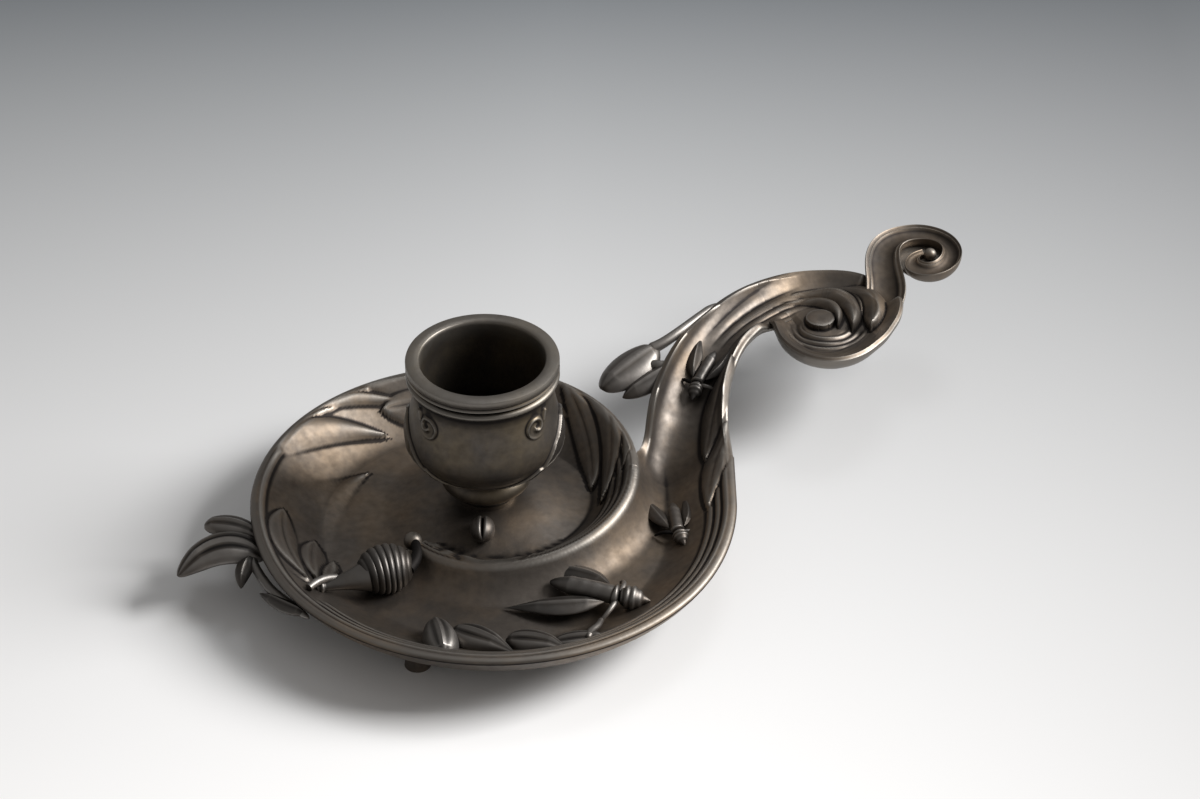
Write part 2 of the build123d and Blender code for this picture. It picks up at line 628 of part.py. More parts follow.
def make_flies(pan, trough):
    middle, ridge_r = RIDGE_ARCS[-1][0], RIDGE_ARCS[-1][1]
    rim_r = reach(middle, FRONT_FLY_AT, WALL_ARCS[-1][0], FRONT_R)
    ahead = polar(middle, ridge_r + FRONT_FLY_SHARE * (rim_r - ridge_r), FRONT_FLY_AT)
    front = Location((ahead[0], ahead[1], FLOOR_TOP), (0, 0, FRONT_FLY_HEADING))
    beside = (HANDLE_START[0] + SIDE_FLY_SHIFT * HANDLE_W, HANDLE_START[1] + SIDE_FLY_Y)
    side = Location((beside[0], beside[1], FLOOR_TOP), (0, 0, SIDE_FLY_HEADING))
    place, heading = handle_point(TROUGH_FLY_RUN)
    floors = [handle_floor_z(TROUGH_FLY_RUN + way * FLY_L / 2) for way in (-1, 1)]
    slope = degrees((floors[1] - floors[0]) / FLY_L)
    rest = Pos(place[0], place[1], handle_floor_z(TROUGH_FLY_RUN)) * Rot(0, 0, heading) * Rot(0, -slope, 0)
    on_floor = fly(FLOOR_LIFT)
    small = scale(on_floor, by=2 * HANDLE_W / SIDE_FLY_ROOM)
    return front * on_floor - pan, side * small - pan, rest * fly(TROUGH_LIFT) - trough


pan = make_pan()
trough_filled, trough_air = handle_loft(0, TROUGH_RUN)
trough = trough_filled - trough_air
scroll, curl = make_scroll_and_curl()
front_fly, side_fly, trough_fly = make_flies(pan, trough)
pieces = {
    "pan": pan,
    "feet": make_feet(pan),
    "socket_knop": make_knop(),
    "socket_cup": make_cup(),
    "socket_screw": make_screw(),
    "screw_washer": make_washer(),
    "handle_trough": trough,
    "handle_scroll": scroll,
    "handle_curl": curl,
    "handle_leaf": make_handle_leaf(trough_filled),
    "side_leaf": make_side_leaf(pan),
    "bud": make_bud(pan),
    "bud_stem": make_stem(pan),
    "seed": make_seed(pan),
    "front_fly": front_fly,
    "side_fly": side_fly,
    "trough_fly": trough_fly,
}

solids = {name: Compound(piece) if isinstance(piece, list) else piece for name, piece in pieces.items()}
box = Compound([solid for piece in solids.values() for solid in piece.solids()]).bounding_box()
middle = box.center()
to_origin = Location((-middle.X, -middle.Y, -box.min.Z))
os.makedirs("parts", exist_ok=True)
for name, piece in solids.items():
    placed = [to_origin * solid for solid in piece.solids()]
    export_step(placed[0] if len(placed) == 1 else Compound(placed), f"parts/{name}.step")
    print(name, len(placed), round(piece.volume))
print("candle axis at", round(-middle.X, 3), round(-middle.Y, 3), "box", box.size)
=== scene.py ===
import json
import bpy
import numpy as np
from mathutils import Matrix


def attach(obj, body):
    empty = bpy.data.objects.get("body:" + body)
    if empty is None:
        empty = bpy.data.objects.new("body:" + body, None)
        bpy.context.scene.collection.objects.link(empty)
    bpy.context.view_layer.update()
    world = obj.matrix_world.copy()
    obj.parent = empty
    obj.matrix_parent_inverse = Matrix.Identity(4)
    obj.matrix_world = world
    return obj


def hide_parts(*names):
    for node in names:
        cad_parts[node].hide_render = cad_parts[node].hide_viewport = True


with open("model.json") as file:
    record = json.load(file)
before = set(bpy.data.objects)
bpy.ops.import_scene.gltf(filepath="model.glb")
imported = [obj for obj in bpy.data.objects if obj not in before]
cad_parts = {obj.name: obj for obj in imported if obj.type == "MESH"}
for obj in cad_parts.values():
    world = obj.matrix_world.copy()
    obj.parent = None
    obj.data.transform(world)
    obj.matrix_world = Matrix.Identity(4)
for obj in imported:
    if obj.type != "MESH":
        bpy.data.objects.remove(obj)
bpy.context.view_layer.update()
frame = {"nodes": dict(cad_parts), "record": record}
mounts = {mount["name"]: mount["pos_m"] for mount in frame["record"]["mounts"]}
axisX, axisY = mounts["candle_socket"][:2]  # the candle's axis: lengths below are millimetres from it
print("frame loaded:", len(frame["nodes"]), "nodes")


# A socket in a material: expressions on wires add Math nodes
class Wire:
    def __init__(self, tree, socket=None):
        self.tree = tree
        self.socket = socket

    def node(self, kind, settings=None, inputs=None, output=0):
        made = self.tree.nodes.new("ShaderNode" + kind)
        for key, value in (settings or {}).items():
            setattr(made, key, value)
        for key, value in (inputs or {}).items():
            if isinstance(value, Wire):
                self.tree.links.new(value.socket, made.inputs[key])
            else:
                made.inputs[key].default_value = value
        return Wire(self.tree, made.outputs[output] if made.outputs else None)

    def maths(self, operation, *values):
        return self.node("Math", {"operation": operation}, dict(enumerate(values)))

    def __add__(self, other):
        return self.maths("ADD", self, other)

    def __mul__(self, other):
        return self.maths("MULTIPLY", self, other)

    def __sub__(self, other):
        return self.maths("SUBTRACT", self, other)

    def __rsub__(self, other):
        return self.maths("SUBTRACT", other, self)

    __radd__ = __add__
    __rmul__ = __mul__

    def within(self, low, high):  # 0 at low, 1 at high, held outside
        return self.node("MapRange", {"clamp": True}, {0: self, 1: low, 2: high})

    def blend(self, first, second):  # first colour at 0, second at 1
        return self.node("Mix", {"data_type": "RGBA"}, {0: self, 6: first, 7: second}, 2)


finishes = {  # colours are linear
    "pan_metal": {"body": (0.132, 0.115, 0.1, 1), "warm": (0.205, 0.158, 0.115, 1),
                  "dark": (0.016, 0.014, 0.014, 1), "worn": (0.25, 0.235, 0.215, 1), "rough": 0.47},
    "socket_metal": {"body": (0.108, 0.096, 0.085, 1), "warm": (0.18, 0.145, 0.098, 1),
                     "dark": (0.018, 0.016, 0.016, 1), "worn": (0.22, 0.205, 0.185, 1), "rough": 0.46},
    "ornament_metal": {"body": (0.07, 0.065, 0.061, 1), "warm": (0.104, 0.086, 0.071, 1),
                       "dark": (0.012, 0.011, 0.011, 1), "worn": (0.26, 0.245, 0.23, 1), "rough": 0.47},
    "fixing_steel": {"body": (0.2, 0.196, 0.19, 1), "warm": (0.18, 0.165, 0.15, 1),
                     "dark": (0.04, 0.038, 0.036, 1), "worn": (0.5, 0.49, 0.48, 1), "rough": 0.4},
}
metal = {"cloudScale": 55, "cloudDetail": 5, "cloudRough": 0.62, "grainScale": 620, "grainDetail": 3,
         "metallic": 0.94, "bump": 0.1, "bumpDepth": 0.0004}


def newMaterial(name):
    made = bpy.data.materials.new(name)
    made.use_nodes = True
    made.node_tree.nodes.clear()
    start = Wire(made.node_tree)
    return made, start, start.node("TexCoord", output=3)


def patina(slotName, look):
    # Body and warm tones in clouds under a dark grain, darker in hollows with patina and painted shade, and
    # paler on worn edges
    material, start, place = newMaterial(slotName + "Look")
    clouds = start.node("TexNoise", None, {"Vector": place, "Scale": metal["cloudScale"],
                                           "Detail": metal["cloudDetail"], "Roughness": metal["cloudRough"]})
    grain = start.node("TexNoise", None, {"Vector": place, "Scale": metal["grainScale"],
                                          "Detail": metal["grainDetail"]})
    worn = start.node("Attribute", {"attribute_name": "worn"}, None, 2)
    edge = (worn + (grain - 0.5) * 0.4).within(0.22, 1.05)
    hollow = (worn * -1 + (clouds - 0.5) * 0.3).within(0.04, 0.7)
    colour = clouds.within(0.42, 0.66).blend(look["body"], look["warm"])
    colour = (grain.within(0.35, 0.75) * 0.3).blend(colour, look["dark"])
    # painted shade with patina: hollows are darkened towards the dark colour
    colour = (hollow * 0.92).blend(colour, look["dark"])
    colour = (edge * 0.7).blend(colour, look["worn"])
    rough = look["rough"] + (clouds - 0.5) * 0.22 + (grain - 0.5) * 0.12 + hollow * 0.18
    bump = start.node("Bump", None, {"Strength": metal["bump"], "Distance": metal["bumpDepth"],
                                     "Height": grain + clouds * 2.0})
    shader = start.node("BsdfPrincipled", None, {"Base Color": colour, "Roughness": rough,
                                                 "Metallic": metal["metallic"], "Normal": bump})
    start.node("OutputMaterial", None, {"Surface": shader})
    return material


looks = {slotName: patina(slotName, look) for slotName, look in finishes.items()}
slotOf = {part["node"]: part["material_slot"] for part in frame["record"]["subparts"]}
for node, part in frame["nodes"].items():
    part.data.materials.clear()
    part.data.materials.append(looks[slotOf[node]])
print("finishes made:", ", ".join(looks))


def smoothStep(low, high, value):
    share = np.clip((value - low) / (high - low), 0, 1)
    return share * share * (3 - 2 * share)


def plateau(begins, whole, fades, ends, value):
    return smoothStep(begins, whole, value) * (1 - smoothStep(fades, ends, value))


def onCircle(centre, radius, angle):
    turn = np.radians(angle)
    return np.stack([centre[0] + radius * np.cos(turn), centre[1] + radius * np.sin(turn)], axis=-1)


def curve(controls, share):
    # Quadratic curve: controls weighted by (1-s)^2, 2s(1-s) and s^2
    first, middle, last = np.array(controls, float)
    s = np.asarray(share, float)[..., None]
    return (1 - s) ** 2 * first + 2 * s * (1 - s) * middle + s * s * last


def evened(values, passes):
    # Values round a ring, each made the mean of itself and its neighbours a few times
    for step in range(passes):
        values = (np.roll(values, 1, 0) + values + np.roll(values, -1, 0)) / 3
    return values


def alongPoints(points, count):
    # Even steps along a run of points, rounded at the corners
    points = np.array(points, float)
    dense = np.linspace(0, len(points) - 1, count)
    path = np.stack([np.interp(dense, np.arange(len(points)), points[:, k]) for k in range(3)], axis=-1)
    for step in range(60):
        path[1:-1] = (path[:-2] + path[1:-1] + path[2:]) / 3
    return path


def turnedTube(path, radii, sides, squash=1.0):
    # Circles of given radii carried along a path in space, flattened upright by squash
    path = np.asarray(path, float)
    way = np.gradient(path, axis=0)
    way /= np.linalg.norm(way, axis=1, keepdims=True)
    right = np.cross(way, [0, 0, 1.0])
    right /= np.maximum(np.linalg.norm(right, axis=1, keepdims=True), 1e-9)
    up = np.cross(right, way)
    turn = np.linspace(0, 2 * np.pi, sides, endpoint=False)[None, :, None]
    size = np.asarray(radii, float)[:, None, None]
    return path[:, None] + size * (np.cos(turn) * right[:, None] + squash * np.sin(turn) * up[:, None])


def sphere(place, radius, rows, sides):
    # Circles of radius * sin(t) from pole to pole along y
    t = np.linspace(0.02, np.pi - 0.02, rows)
    path = np.stack([place[0] + 0 * t, place[1] - radius * np.cos(t), place[2] + 0 * t], axis=-1)
    return turnedTube(path, radius * np.sin(t), sides)


def headed(place, heading, points):
    # Points given ahead, to the left and up, turned to a heading and set at a place
    c, s = np.cos(np.radians(heading)), np.sin(np.radians(heading))
    x, y = points[..., 0], points[..., 1]
    return np.stack([place[0] + c * x - s * y, place[1] + s * x + c * y, place[2] + points[..., 2]], axis=-1)


def padded(rings):
    return np.concatenate([rings[:1], rings, rings[-1:]])


def inScene(name, data):
    made = bpy.data.objects.new(name, data)
    bpy.context.scene.collection.objects.link(made)
    return made


skin = {"wearShadePasses": 6, "wearShadeHeight": 0.1, "sharpAngle": 48}


def ringSkin(name, rings, slotName, replaced=(), worn=None):
    # Quads between neighbouring rings of points, with one face over the first and last ring. The worn
    # attribute, unless given, is how far a point stands above the mean of its neighbours, along the normal
    rings = np.asarray(rings, float)
    count, size = rings.shape[:2]
    index = np.arange(count * size).reshape(count, size)
    ahead = np.roll(index, -1, axis=1)
    quads = np.stack([index[:-1], ahead[:-1], ahead[1:], index[1:]], axis=-1).reshape(-1, 4)
    points = rings.reshape(-1, 3)
    a, b, c, d = (points[quads[:, k]] for k in range(4))
    way = 1 if (a * (np.cross(b, c) + np.cross(c, d))).sum() > 0 else -1  # by the sign of the volume
    quads = quads[:, ::way]
    caps = [index[0][::-way], index[-1][::way]]
    if worn is None:
        mean = rings
        for step in range(skin["wearShadePasses"]):
            rows = padded(mean)
            mean = (np.roll(mean, 1, 1) + np.roll(mean, -1, 1) + rows[:-2] + rows[2:]) / 4
        rows = padded(rings)
        normal = np.cross(np.roll(rings, -1, 1) - np.roll(rings, 1, 1), rows[2:] - rows[:-2]) * way
        normal /= np.maximum(np.linalg.norm(normal, axis=-1, keepdims=True), 1e-9)
        worn = ((rings - mean) * normal).sum(axis=-1) / skin["wearShadeHeight"]
    worn = np.clip(worn, -1, 1).reshape(-1)
    mesh = bpy.data.meshes.new(name)
    mesh.vertices.add(len(points))
    mesh.vertices.foreach_set("co", (points / 1000 + [axisX, axisY, 0]).ravel())
    mesh.loops.add(quads.size + 2 * size)
    mesh.loops.foreach_set("vertex_index", np.concatenate([quads.ravel()] + caps))
    sides = np.append(np.full(len(quads), 4), [size, size])
    mesh.polygons.add(len(sides))
    mesh.polygons.foreach_set("loop_start", np.cumsum(sides) - sides)
    mesh.polygons.foreach_set("loop_total", sides)
    mesh.polygons.foreach_set("use_smooth", np.ones(len(sides), bool))
    # worn: high on crests for wear, low in hollows for patina and the painted shade there
    mesh.attributes.new("worn", "FLOAT", "POINT").data.foreach_set("value", worn)
    mesh.update(calc_edges=True)
    mesh.set_sharp_from_angle(angle=np.radians(skin["sharpAngle"]))
    mesh.materials.append(looks[slotName])
    piece = inScene(name, mesh)
    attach(piece, "root")
    if replaced:
        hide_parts(*replaced)
    print(name, 2 * len(quads) + 2 * size, "triangles")


plainLeaf = {"lean": 0.8, "round": 0.7, "groove": 0.15, "grow": 0.01}  # unless a laid leaf gives them


def leafLift(x, y, given):
    # Height of a leaf laid on a surface: a dome across its spine, as wide as width * sin(pi * s^lean)^0.7
    # along it, less a groove on the spine. It rises from nothing over the first share of its length, grow
    leaf = plainLeaf | given
    controls, width = leaf["spine"], leaf["width"]
    lift = np.zeros(x.shape)
    low = np.min(controls, axis=0) - width - 1
    high = np.max(controls, axis=0) + width + 1
    near = (x > low[0]) & (x < high[0]) & (y > low[1]) & (y < high[1])
    if not near.any():
        return lift
    share = np.linspace(0, 1, 180)
    spine = curve(controls, share)
    gap = np.stack([x[near], y[near]], axis=-1)[:, None] - spine
    best = (gap ** 2).sum(axis=-1).argmin(axis=1)  # nearest point of the spine
    s = share[best]
    tangent = np.gradient(spine, axis=0)
    tangent /= np.linalg.norm(tangent, axis=1, keepdims=True)
    offset = np.take_along_axis(gap, best[:, None, None], axis=1)[:, 0]
    side = tangent[best, 0] * offset[:, 1] - tangent[best, 1] * offset[:, 0]
    along = (tangent[best] * offset).sum(axis=1)
    half = width * np.sin(np.pi * np.clip(s, 0.001, 0.999) ** leaf["lean"]) ** 0.7 + 0.05
    across = np.clip(np.hypot(side, along * (np.abs(along) > 0.4)) / half, 0, 1)
    dome = (1 - across ** 2) ** leaf["round"]
    groove = leaf["groove"] * np.exp(-(side / 0.35) ** 2) * (dome > 0)
    rise = smoothStep(0, leaf["grow"], s)
    lift[near] = np.maximum(leaf["height"] * dome * rise - groove * np.minimum(dome * 2, 1), 0)
    return lift


# Spiral of tangent arcs, from the ball at its inner end to the right side of the rim
spiral = {"centre": (2.5, -3.0), "start": 220, "radius": 21, "growth": 1.235, "ballInset": 0.9,
          "turns": (50, 90, 90, 90, 90, 90), "leftR": 46, "frontR": 43.6}
arcs = []
centre, angle, radius = np.array(spiral["centre"]), spiral["start"], spiral["radius"]
radii = [radius * spiral["growth"] ** k for k in range(4)] + [spiral["leftR"], spiral["frontR"]]
for newRadius, turn in zip(radii, spiral["turns"]):
    centre = onCircle(onCircle(centre, radius, angle), newRadius, angle + 180)
    radius = newRadius
    arcs.append((centre, radius, angle, turn))
    angle += turn
ridgeArcs, rimArcs = arcs[:2], arcs[2:]
notch = onCircle(rimArcs[0][0], rimArcs[0][1], 0)
rimEnd = onCircle(rimArcs[-1][0], rimArcs[-1][1], 0)
ball = onCircle(arcs[0][0], arcs[0][1] - spiral["ballInset"], spiral["start"])
farOff = 99.0  # stands for the distance where no arc is near


def insetFrom(chain, x, y):
    # Distance inside a chain of arcs, radius less the distance from the centre, and the turn along the chain
    inset = np.full(x.shape, farOff)
    turned = np.zeros(x.shape)
    run = 0
    for (cx, cy), r, start, sweep in chain:
        about = (np.degrees(np.arctan2(y - cy, x - cx)) - start) % 360
        here = r - np.hypot(x - cx, y - cy)
        take = (about <= sweep) & (np.abs(here) < np.abs(inset))
        inset = np.where(take, here, inset)
        turned = np.where(take, run + about, turned)
        run += sweep
    return inset, turned


pan = {"floor": 6, "rim": 14, "frontDrop": 1.3, "wallW": 13, "ridgeW": 9, "lipW": 1.3,
       "lipDrop": 0.8, "thick": 2, "ballRise": 3.8, "outerSlope": 6, "outerDrop": 0.6, "domeR": 19.5,
       "seatR": 6.5, "domeH": 2.75, "reedPitch": 1.4, "reedH": 0.52, "reedFirst": 1.4,
       "ridgeReedFirst": 1.5, "reedCount": 3, "tailTurn": 40, "tailFade": 8, "tailW": 1.4, "mouth": 5,
       "mouthDrop": 1.8, "edgeDrop": 0.2, "middle": (2.0, -12.0), "columns": 690, "wearShadeReach": 0.6,
       "bearings": ((0, 0.045, 0.165, 1), (0, 18, 38, 360)),  # more columns at the mouth
       "rows": ((0.02, 0.28, 10), (0.29, 0.62, 48), (0.63, 0.76, 14), (0.765, 1.0, 48)),  # from, to, count
       "insets": (0.12, 0.35, 0.7, 1.2, 1.9, 2.8, 4.0, 5.5, 7.5, 9.8, 13.0),  # rings on the outside
       "underShares": (0.62, 0.5, 0.35, 0.2, 0.02), "dropEnds": (-34, -8),
       # Degrees along the rim: the wall widens, and its reeds go down to one and come back in front
       "widens": (0, 70), "reedsFade": (20, 60), "oneBegins": (60, 90), "reedsReturn": (220, 226)}
panLeaves = [  # spines in plan, from root to tip; the last two run on into the handle
    {"spine": [(-31, -27), (-40, -6), (-23, 9)], "width": 6.5, "height": 0.55, "groove": 0,
     "round": 2},
    {"spine": [(-31, -26.5), (-37.5, -18), (-37.2, -7.5)], "width": 2.9, "height": 1.15, "lean": 1.35},
    {"spine": [(-29.6, -25.5), (-32, -19), (-31.2, -12.5)], "width": 2.5, "height": 1.35, "lean": 1.35},
    {"spine": [(-28.6, -25.6), (-28, -21), (-27.4, -17.5)], "width": 1.5, "height": 1.3, "lean": 1.3},
    {"spine": [(-41, 4), (-36, 17.5), (-20, 19)], "width": 2.8, "height": 1, "groove": 0,
     "round": 1.1, "grow": 0.5},
    {"spine": [(-40, 12), (-32, 26), (-14, 25.5)], "width": 1.5, "height": 0.7, "groove": 0,
     "round": 1.1, "grow": 0.4},
    {"spine": [(-5, 32), (-16, 31), (-25.6, 27)], "width": 3.6, "height": 1, "lean": 1.4},
    {"spine": [(-3, 29), (-12, 27), (-20.8, 23.2)], "width": 3.5, "height": 1, "lean": 1.4},
    {"spine": [(-6, 38.2), (-17, 37.6), (-26, 34.3)], "width": 1.6, "height": 0.8, "groove": 0,
     "lean": 1.3},
    {"spine": [(15, 31), (27.5, 21), (21.5, -1.5)], "width": 2.7, "height": 1.3},
    {"spine": [(14, 28), (21, 15), (19.6, 4)], "width": 2.3, "height": 1, "lean": 0.9},
    {"spine": [(20, 27), (28.8, 15), (25.4, 3)], "width": 1.3, "height": 0.8},
    {"spine": [(47.4, 14), (42.6, 8), (41.2, -7.5)], "width": 2.6, "height": 1.2, "lean": 0.9},
    {"spine": [(46.6, 27), (42.8, 19), (41.2, 7)], "width": 2.4, "height": 1.2, "lean": 0.9},
]


def wallRise(inset, width, depth, soft=False):
    # Slope from the floor to the lip, eased at its foot, then a quarter round or a softer bend over it
    share = np.clip((width - inset) / (width - pan["lipW"]), 0, 1)
    slope = depth * (np.sqrt(share ** 2 + 0.04) - 0.2) / (np.sqrt(1.04) - 0.2)
    over = np.clip(inset / pan["lipW"], 0, 1)
    roll = 0.75 * (1 - over) ** 2 if soft else 1 - np.sqrt(1 - (1 - over) ** 2)
    return np.where(inset < pan["lipW"], depth - pan["lipDrop"] * roll, slope)


def reeds(inset, first, count):
    # Reeds side by side, each half a sine wave, counted in from the lip
    place = (inset - first) / pan["reedPitch"]
    inside = (place > 0) & (place < count)
    return np.where(inside, pan["reedH"] * np.sin(np.pi * (place % 1)), 0)


def rimDrop(y):
    # The rim is lower in front than behind
    return pan["frontDrop"] * (1 - smoothStep(*pan["dropEnds"], y))


def panHeight(x, y):
    # Highest of the rim's wall, the ridge and the dome under the socket, with reeds and leaves added
    full = pan["rim"] - pan["floor"]
    rimIn, turned = insetFrom(rimArcs, x, y)
    depth = full - rimDrop(y)
    beyond = (rimIn < -0.05) & (x > notch[0] - 6) & (y > 0)  # past the rim, where the handle starts
    straight = np.where(y > rimEnd[1], rimEnd[0] - x, farOff)
    outside = np.where(beyond, -rimIn, farOff)
    inset = np.where(beyond, straight, np.minimum(rimIn, straight))
    lift = np.zeros(x.shape)
    for leaf in panLeaves:
        lift = np.maximum(lift, leafLift(x, y, leaf))
    lift = lift * smoothStep(0.5, 2.5, np.minimum(np.abs(rimIn), straight))  # none on the lip
    bare = 1 - smoothStep(0.02, 0.2, lift)
    onSide = inset == straight
    widened = smoothStep(*pan["widens"], turned)
    width = np.where(onSide, pan["wallW"], pan["ridgeW"] + (pan["wallW"] - pan["ridgeW"]) * widened)
    front = smoothStep(*pan["reedsReturn"], turned)
    manyReeds = np.where(onSide, 1.0, front + 1 - smoothStep(*pan["reedsFade"], turned))
    oneReed = np.where(onSide, 0.0, smoothStep(*pan["oneBegins"], turned) * (1 - front))
    reeded = reeds(inset, pan["reedFirst"], pan["reedCount"]) * np.clip(manyReeds, 0, 1)
    reeded = reeded + reeds(inset, pan["reedFirst"], 1) * np.clip(oneReed, 0, 1)
    wall = wallRise(inset, width, depth) + bare * reeded
    ridgeIn, ridgeTurn = insetFrom(ridgeArcs, x, y)
    fullTurn = sum(arc[3] for arc in ridgeArcs)
    crest = pan["ballRise"] + (full - pan["ballRise"]) * (ridgeTurn / fullTurn) ** 1.3
    outer = np.minimum(np.where(ridgeIn < 0, -ridgeIn, farOff), outside)
    crest = np.where(outside < farOff, full, crest)
    slope = (crest - pan["outerDrop"]) * np.clip(1 - outer / pan["outerSlope"], 0, 1) ** 2.2
    inner = wallRise(ridgeIn, pan["ridgeW"], crest, True)
    inner = inner + bare * reeds(ridgeIn, pan["ridgeReedFirst"], pan["reedCount"])
    ridge = np.where(outer < farOff, slope, np.where(ridgeIn < farOff, inner, 0))
    tailCentre, tailR, tailStart = arcs[0][:3]
    before = (tailStart - np.degrees(np.arctan2(y - tailCentre[1], x - tailCentre[0]))) % 360
    tailIn = tailR - np.hypot(x - tailCentre[0], y - tailCentre[1])
    fade = np.where(before < pan["tailTurn"], 1 - smoothStep(0, pan["tailFade"], before), 0)
    tail = fade * pan["ballRise"] * np.exp(-((tailIn - spiral["ballInset"]) / pan["tailW"]) ** 2)
    dome = pan["domeH"] * (1 - smoothStep(pan["seatR"], pan["domeR"], np.hypot(x, y)))
    return pan["floor"] + np.maximum(np.maximum(wall, np.maximum(ridge, tail)), dome) + lift


def makePan():
    # Rays from a middle point to the rim, carried over the lip, down the outside and in under the floor
    outline = [onCircle(c, r, np.linspace(start, start + sweep, 200)) for c, r, start, sweep in rimArcs]
    outline[0] = outline[0][outline[0][:, 1] > pan["mouth"] - 40 * (outline[0][:, 0] < 20)]
    rightSide = np.stack([np.full(40, rimEnd[0]), np.linspace(rimEnd[1], pan["mouth"], 40)], axis=-1)
    mouthLine = np.stack([np.linspace(rimEnd[0], outline[0][0, 0], 40), np.full(40, pan["mouth"])], axis=-1)
    outline = np.concatenate(outline + [rightSide, mouthLine])
    middle = np.array(pan["middle"])
    bearing = np.degrees(np.arctan2(*(outline - middle).T[::-1])) % 360
    order = np.argsort(bearing)
    angle = np.interp(np.linspace(0, 1, pan["columns"], endpoint=False), *pan["bearings"])
    radius = np.interp(angle, bearing[order], np.linalg.norm(outline - middle, axis=1)[order], period=360)
    edge = onCircle(middle, radius, angle)
    along = np.roll(edge, -1, 0) - np.roll(edge, 1, 0)
    outward = np.stack([along[:, 1], -along[:, 0]], axis=-1) / np.linalg.norm(along, axis=1, keepdims=True)
    shares = np.concatenate([np.linspace(*row) for row in pan["rows"]])
    plan = middle + shares[:, None, None] * (edge - middle)
    top = np.dstack([plan, panHeight(plan[..., 0], plan[..., 1])])
    base = pan["floor"] - pan["thick"]
    high = pan["rim"] - pan["lipDrop"] - base - rimDrop(edge[:, 1])
    bend = (pan["wallW"] ** 2 + high ** 2) / (2 * high)
    mouth = (edge[:, 1] > pan["mouth"] - 0.1) & (edge[:, 0] > notch[0] - 1)
    under = []
    for inset in pan["insets"]:
        limit = top[-1, :, 2] - pan["edgeDrop"] - mouth * pan["mouthDrop"] * smoothStep(0, 0.8, inset)
        arc = base + bend - np.sqrt(np.maximum(bend ** 2 - (pan["wallW"] - inset) ** 2, 0))
        under.append(np.column_stack([edge - outward * inset, np.minimum(limit, arc)]))
    for share in pan["underShares"]:
        under.append(np.column_stack([middle + share * (edge - middle), np.full(len(edge), base)]))
    rings = np.concatenate([top, np.array(under)])
    reach = pan["wearShadeReach"]
    steps = ((reach, 0), (-reach, 0), (0, reach), (0, -reach))
    near = [panHeight(plan[..., 0] + dx, plan[..., 1] + dy) for dx, dy in steps]
    steep = np.sqrt(1 + ((near[0] - near[1]) ** 2 + (near[2] - near[3]) ** 2) / (2 * reach) ** 2)
    # its low side gives the pan's hollows painted shade as well as patina
    worn = np.zeros(rings.shape[:2])  # height above the mean of four places round about, along the normal
    worn[:len(top)] = (top[..., 2] - sum(near) / 4) / steep / skin["wearShadeHeight"]
    ringSkin("panSkin", rings, "pan_metal", ("pan",), worn)


makePan()


handle = {"gap": 0.5, "straight": 9, "bendR": 44, "turn": 82, "rise": 7.6, "riseRun": 36,
          "endW": 3.6, "endDepth": 2.8, "fall": 3, "thick": 2, "lip": 1.3, "lipDrop": 0.7, "end": 51,
          "spread": 1.4, "lead": 7, "blend": 16, "tuck": 1.6, "sink": 0.8, "web": 1.1, "rows": 240,
          "columns": 74, "spreadRuns": (34, 50)}
band = {"fork": (40, 46.5), "stripRuns": (30, 42), "stripH": 0.38, "stripW": 1.9, "stripTwist": 60,
        "beadRuns": (12, 20, 36, 42), "beadH": 0.3, "beadAt": 0.8, "beadW": 0.05}
handleW = (rimEnd[0] - notch[0] - handle["gap"]) / 2
handleStart = np.array([rimEnd[0] - handleW, notch[1]])
handleRun = handle["straight"] + handle["bendR"] * np.radians(handle["turn"])


def handlePath(run):
    # Straight on from the pan, then an arc to the right: place, and the direction to the right of the way
    bent = np.maximum(run - handle["straight"], 0) / handle["bendR"]
    x = handleStart[0] + handle["bendR"] * (1 - np.cos(bent))
    y = handleStart[1] + np.minimum(run, handle["straight"]) + handle["bendR"] * np.sin(bent)
    return np.stack([x, y], axis=-1), np.stack([np.cos(bent), -np.sin(bent)], axis=-1)


def handleEdge(run):
    return pan["rim"] + handle["rise"] * smoothStep(0, handle["riseRun"], run)


def handleFloor(run):
    # Below the edge by the pan's depth at first, by endDepth at the end
    share = np.clip(1 - run / handleRun, 0, 1)
    extra = pan["rim"] - pan["floor"] - handle["endDepth"]
    return handleEdge(run) - handle["endDepth"] - extra * share ** handle["fall"]


def handleHalf(run):
    return handleW + (handle["endW"] - handleW) * np.clip(run, 0, None) / handleRun


def channelRise(across, half, height):
    # Arc that leaves the middle level and meets the lip, then a rounded lip
    clear = half - handle["lip"]
    bend = (clear ** 2 + height ** 2) / (2 * height)
    arc = bend - np.sqrt(np.maximum(bend ** 2 - np.minimum(np.abs(across), clear) ** 2, 0))
    share = np.clip((half - np.abs(across)) / handle["lip"], 0, 1)
    roll = height - handle["lipDrop"] * (1 - np.sqrt(1 - (1 - share) ** 2))
    return np.where(np.abs(across) > clear, roll, arc)


def bandHeight(runs, share, half):
    # Channel with strips along it and a bead inside each lip; past the fork its right side lies open
    height = handleEdge(runs) - handleFloor(runs)
    rise = channelRise(share * half, half, height)
    rise = rise * (1 - smoothStep(*band["fork"], runs) * smoothStep(-0.1, 0.5, share))
    strips = smoothStep(*band["stripRuns"], runs) * smoothStep(1.0, 0.7, np.abs(share))
    lane = share * half / band["stripW"] + runs / band["stripTwist"]
    rise = rise + strips * band["stripH"] * np.sin(np.pi * (lane % 1))
    bead = band["beadH"] * plateau(*band["beadRuns"], runs)
    rise = rise + bead * np.exp(-((np.abs(share) - band["beadAt"]) / band["beadW"]) ** 2)
    return handleFloor(runs) + rise


def bandSpread(runs):
    return handle["spread"] * smoothStep(*handle["spreadRuns"], runs)


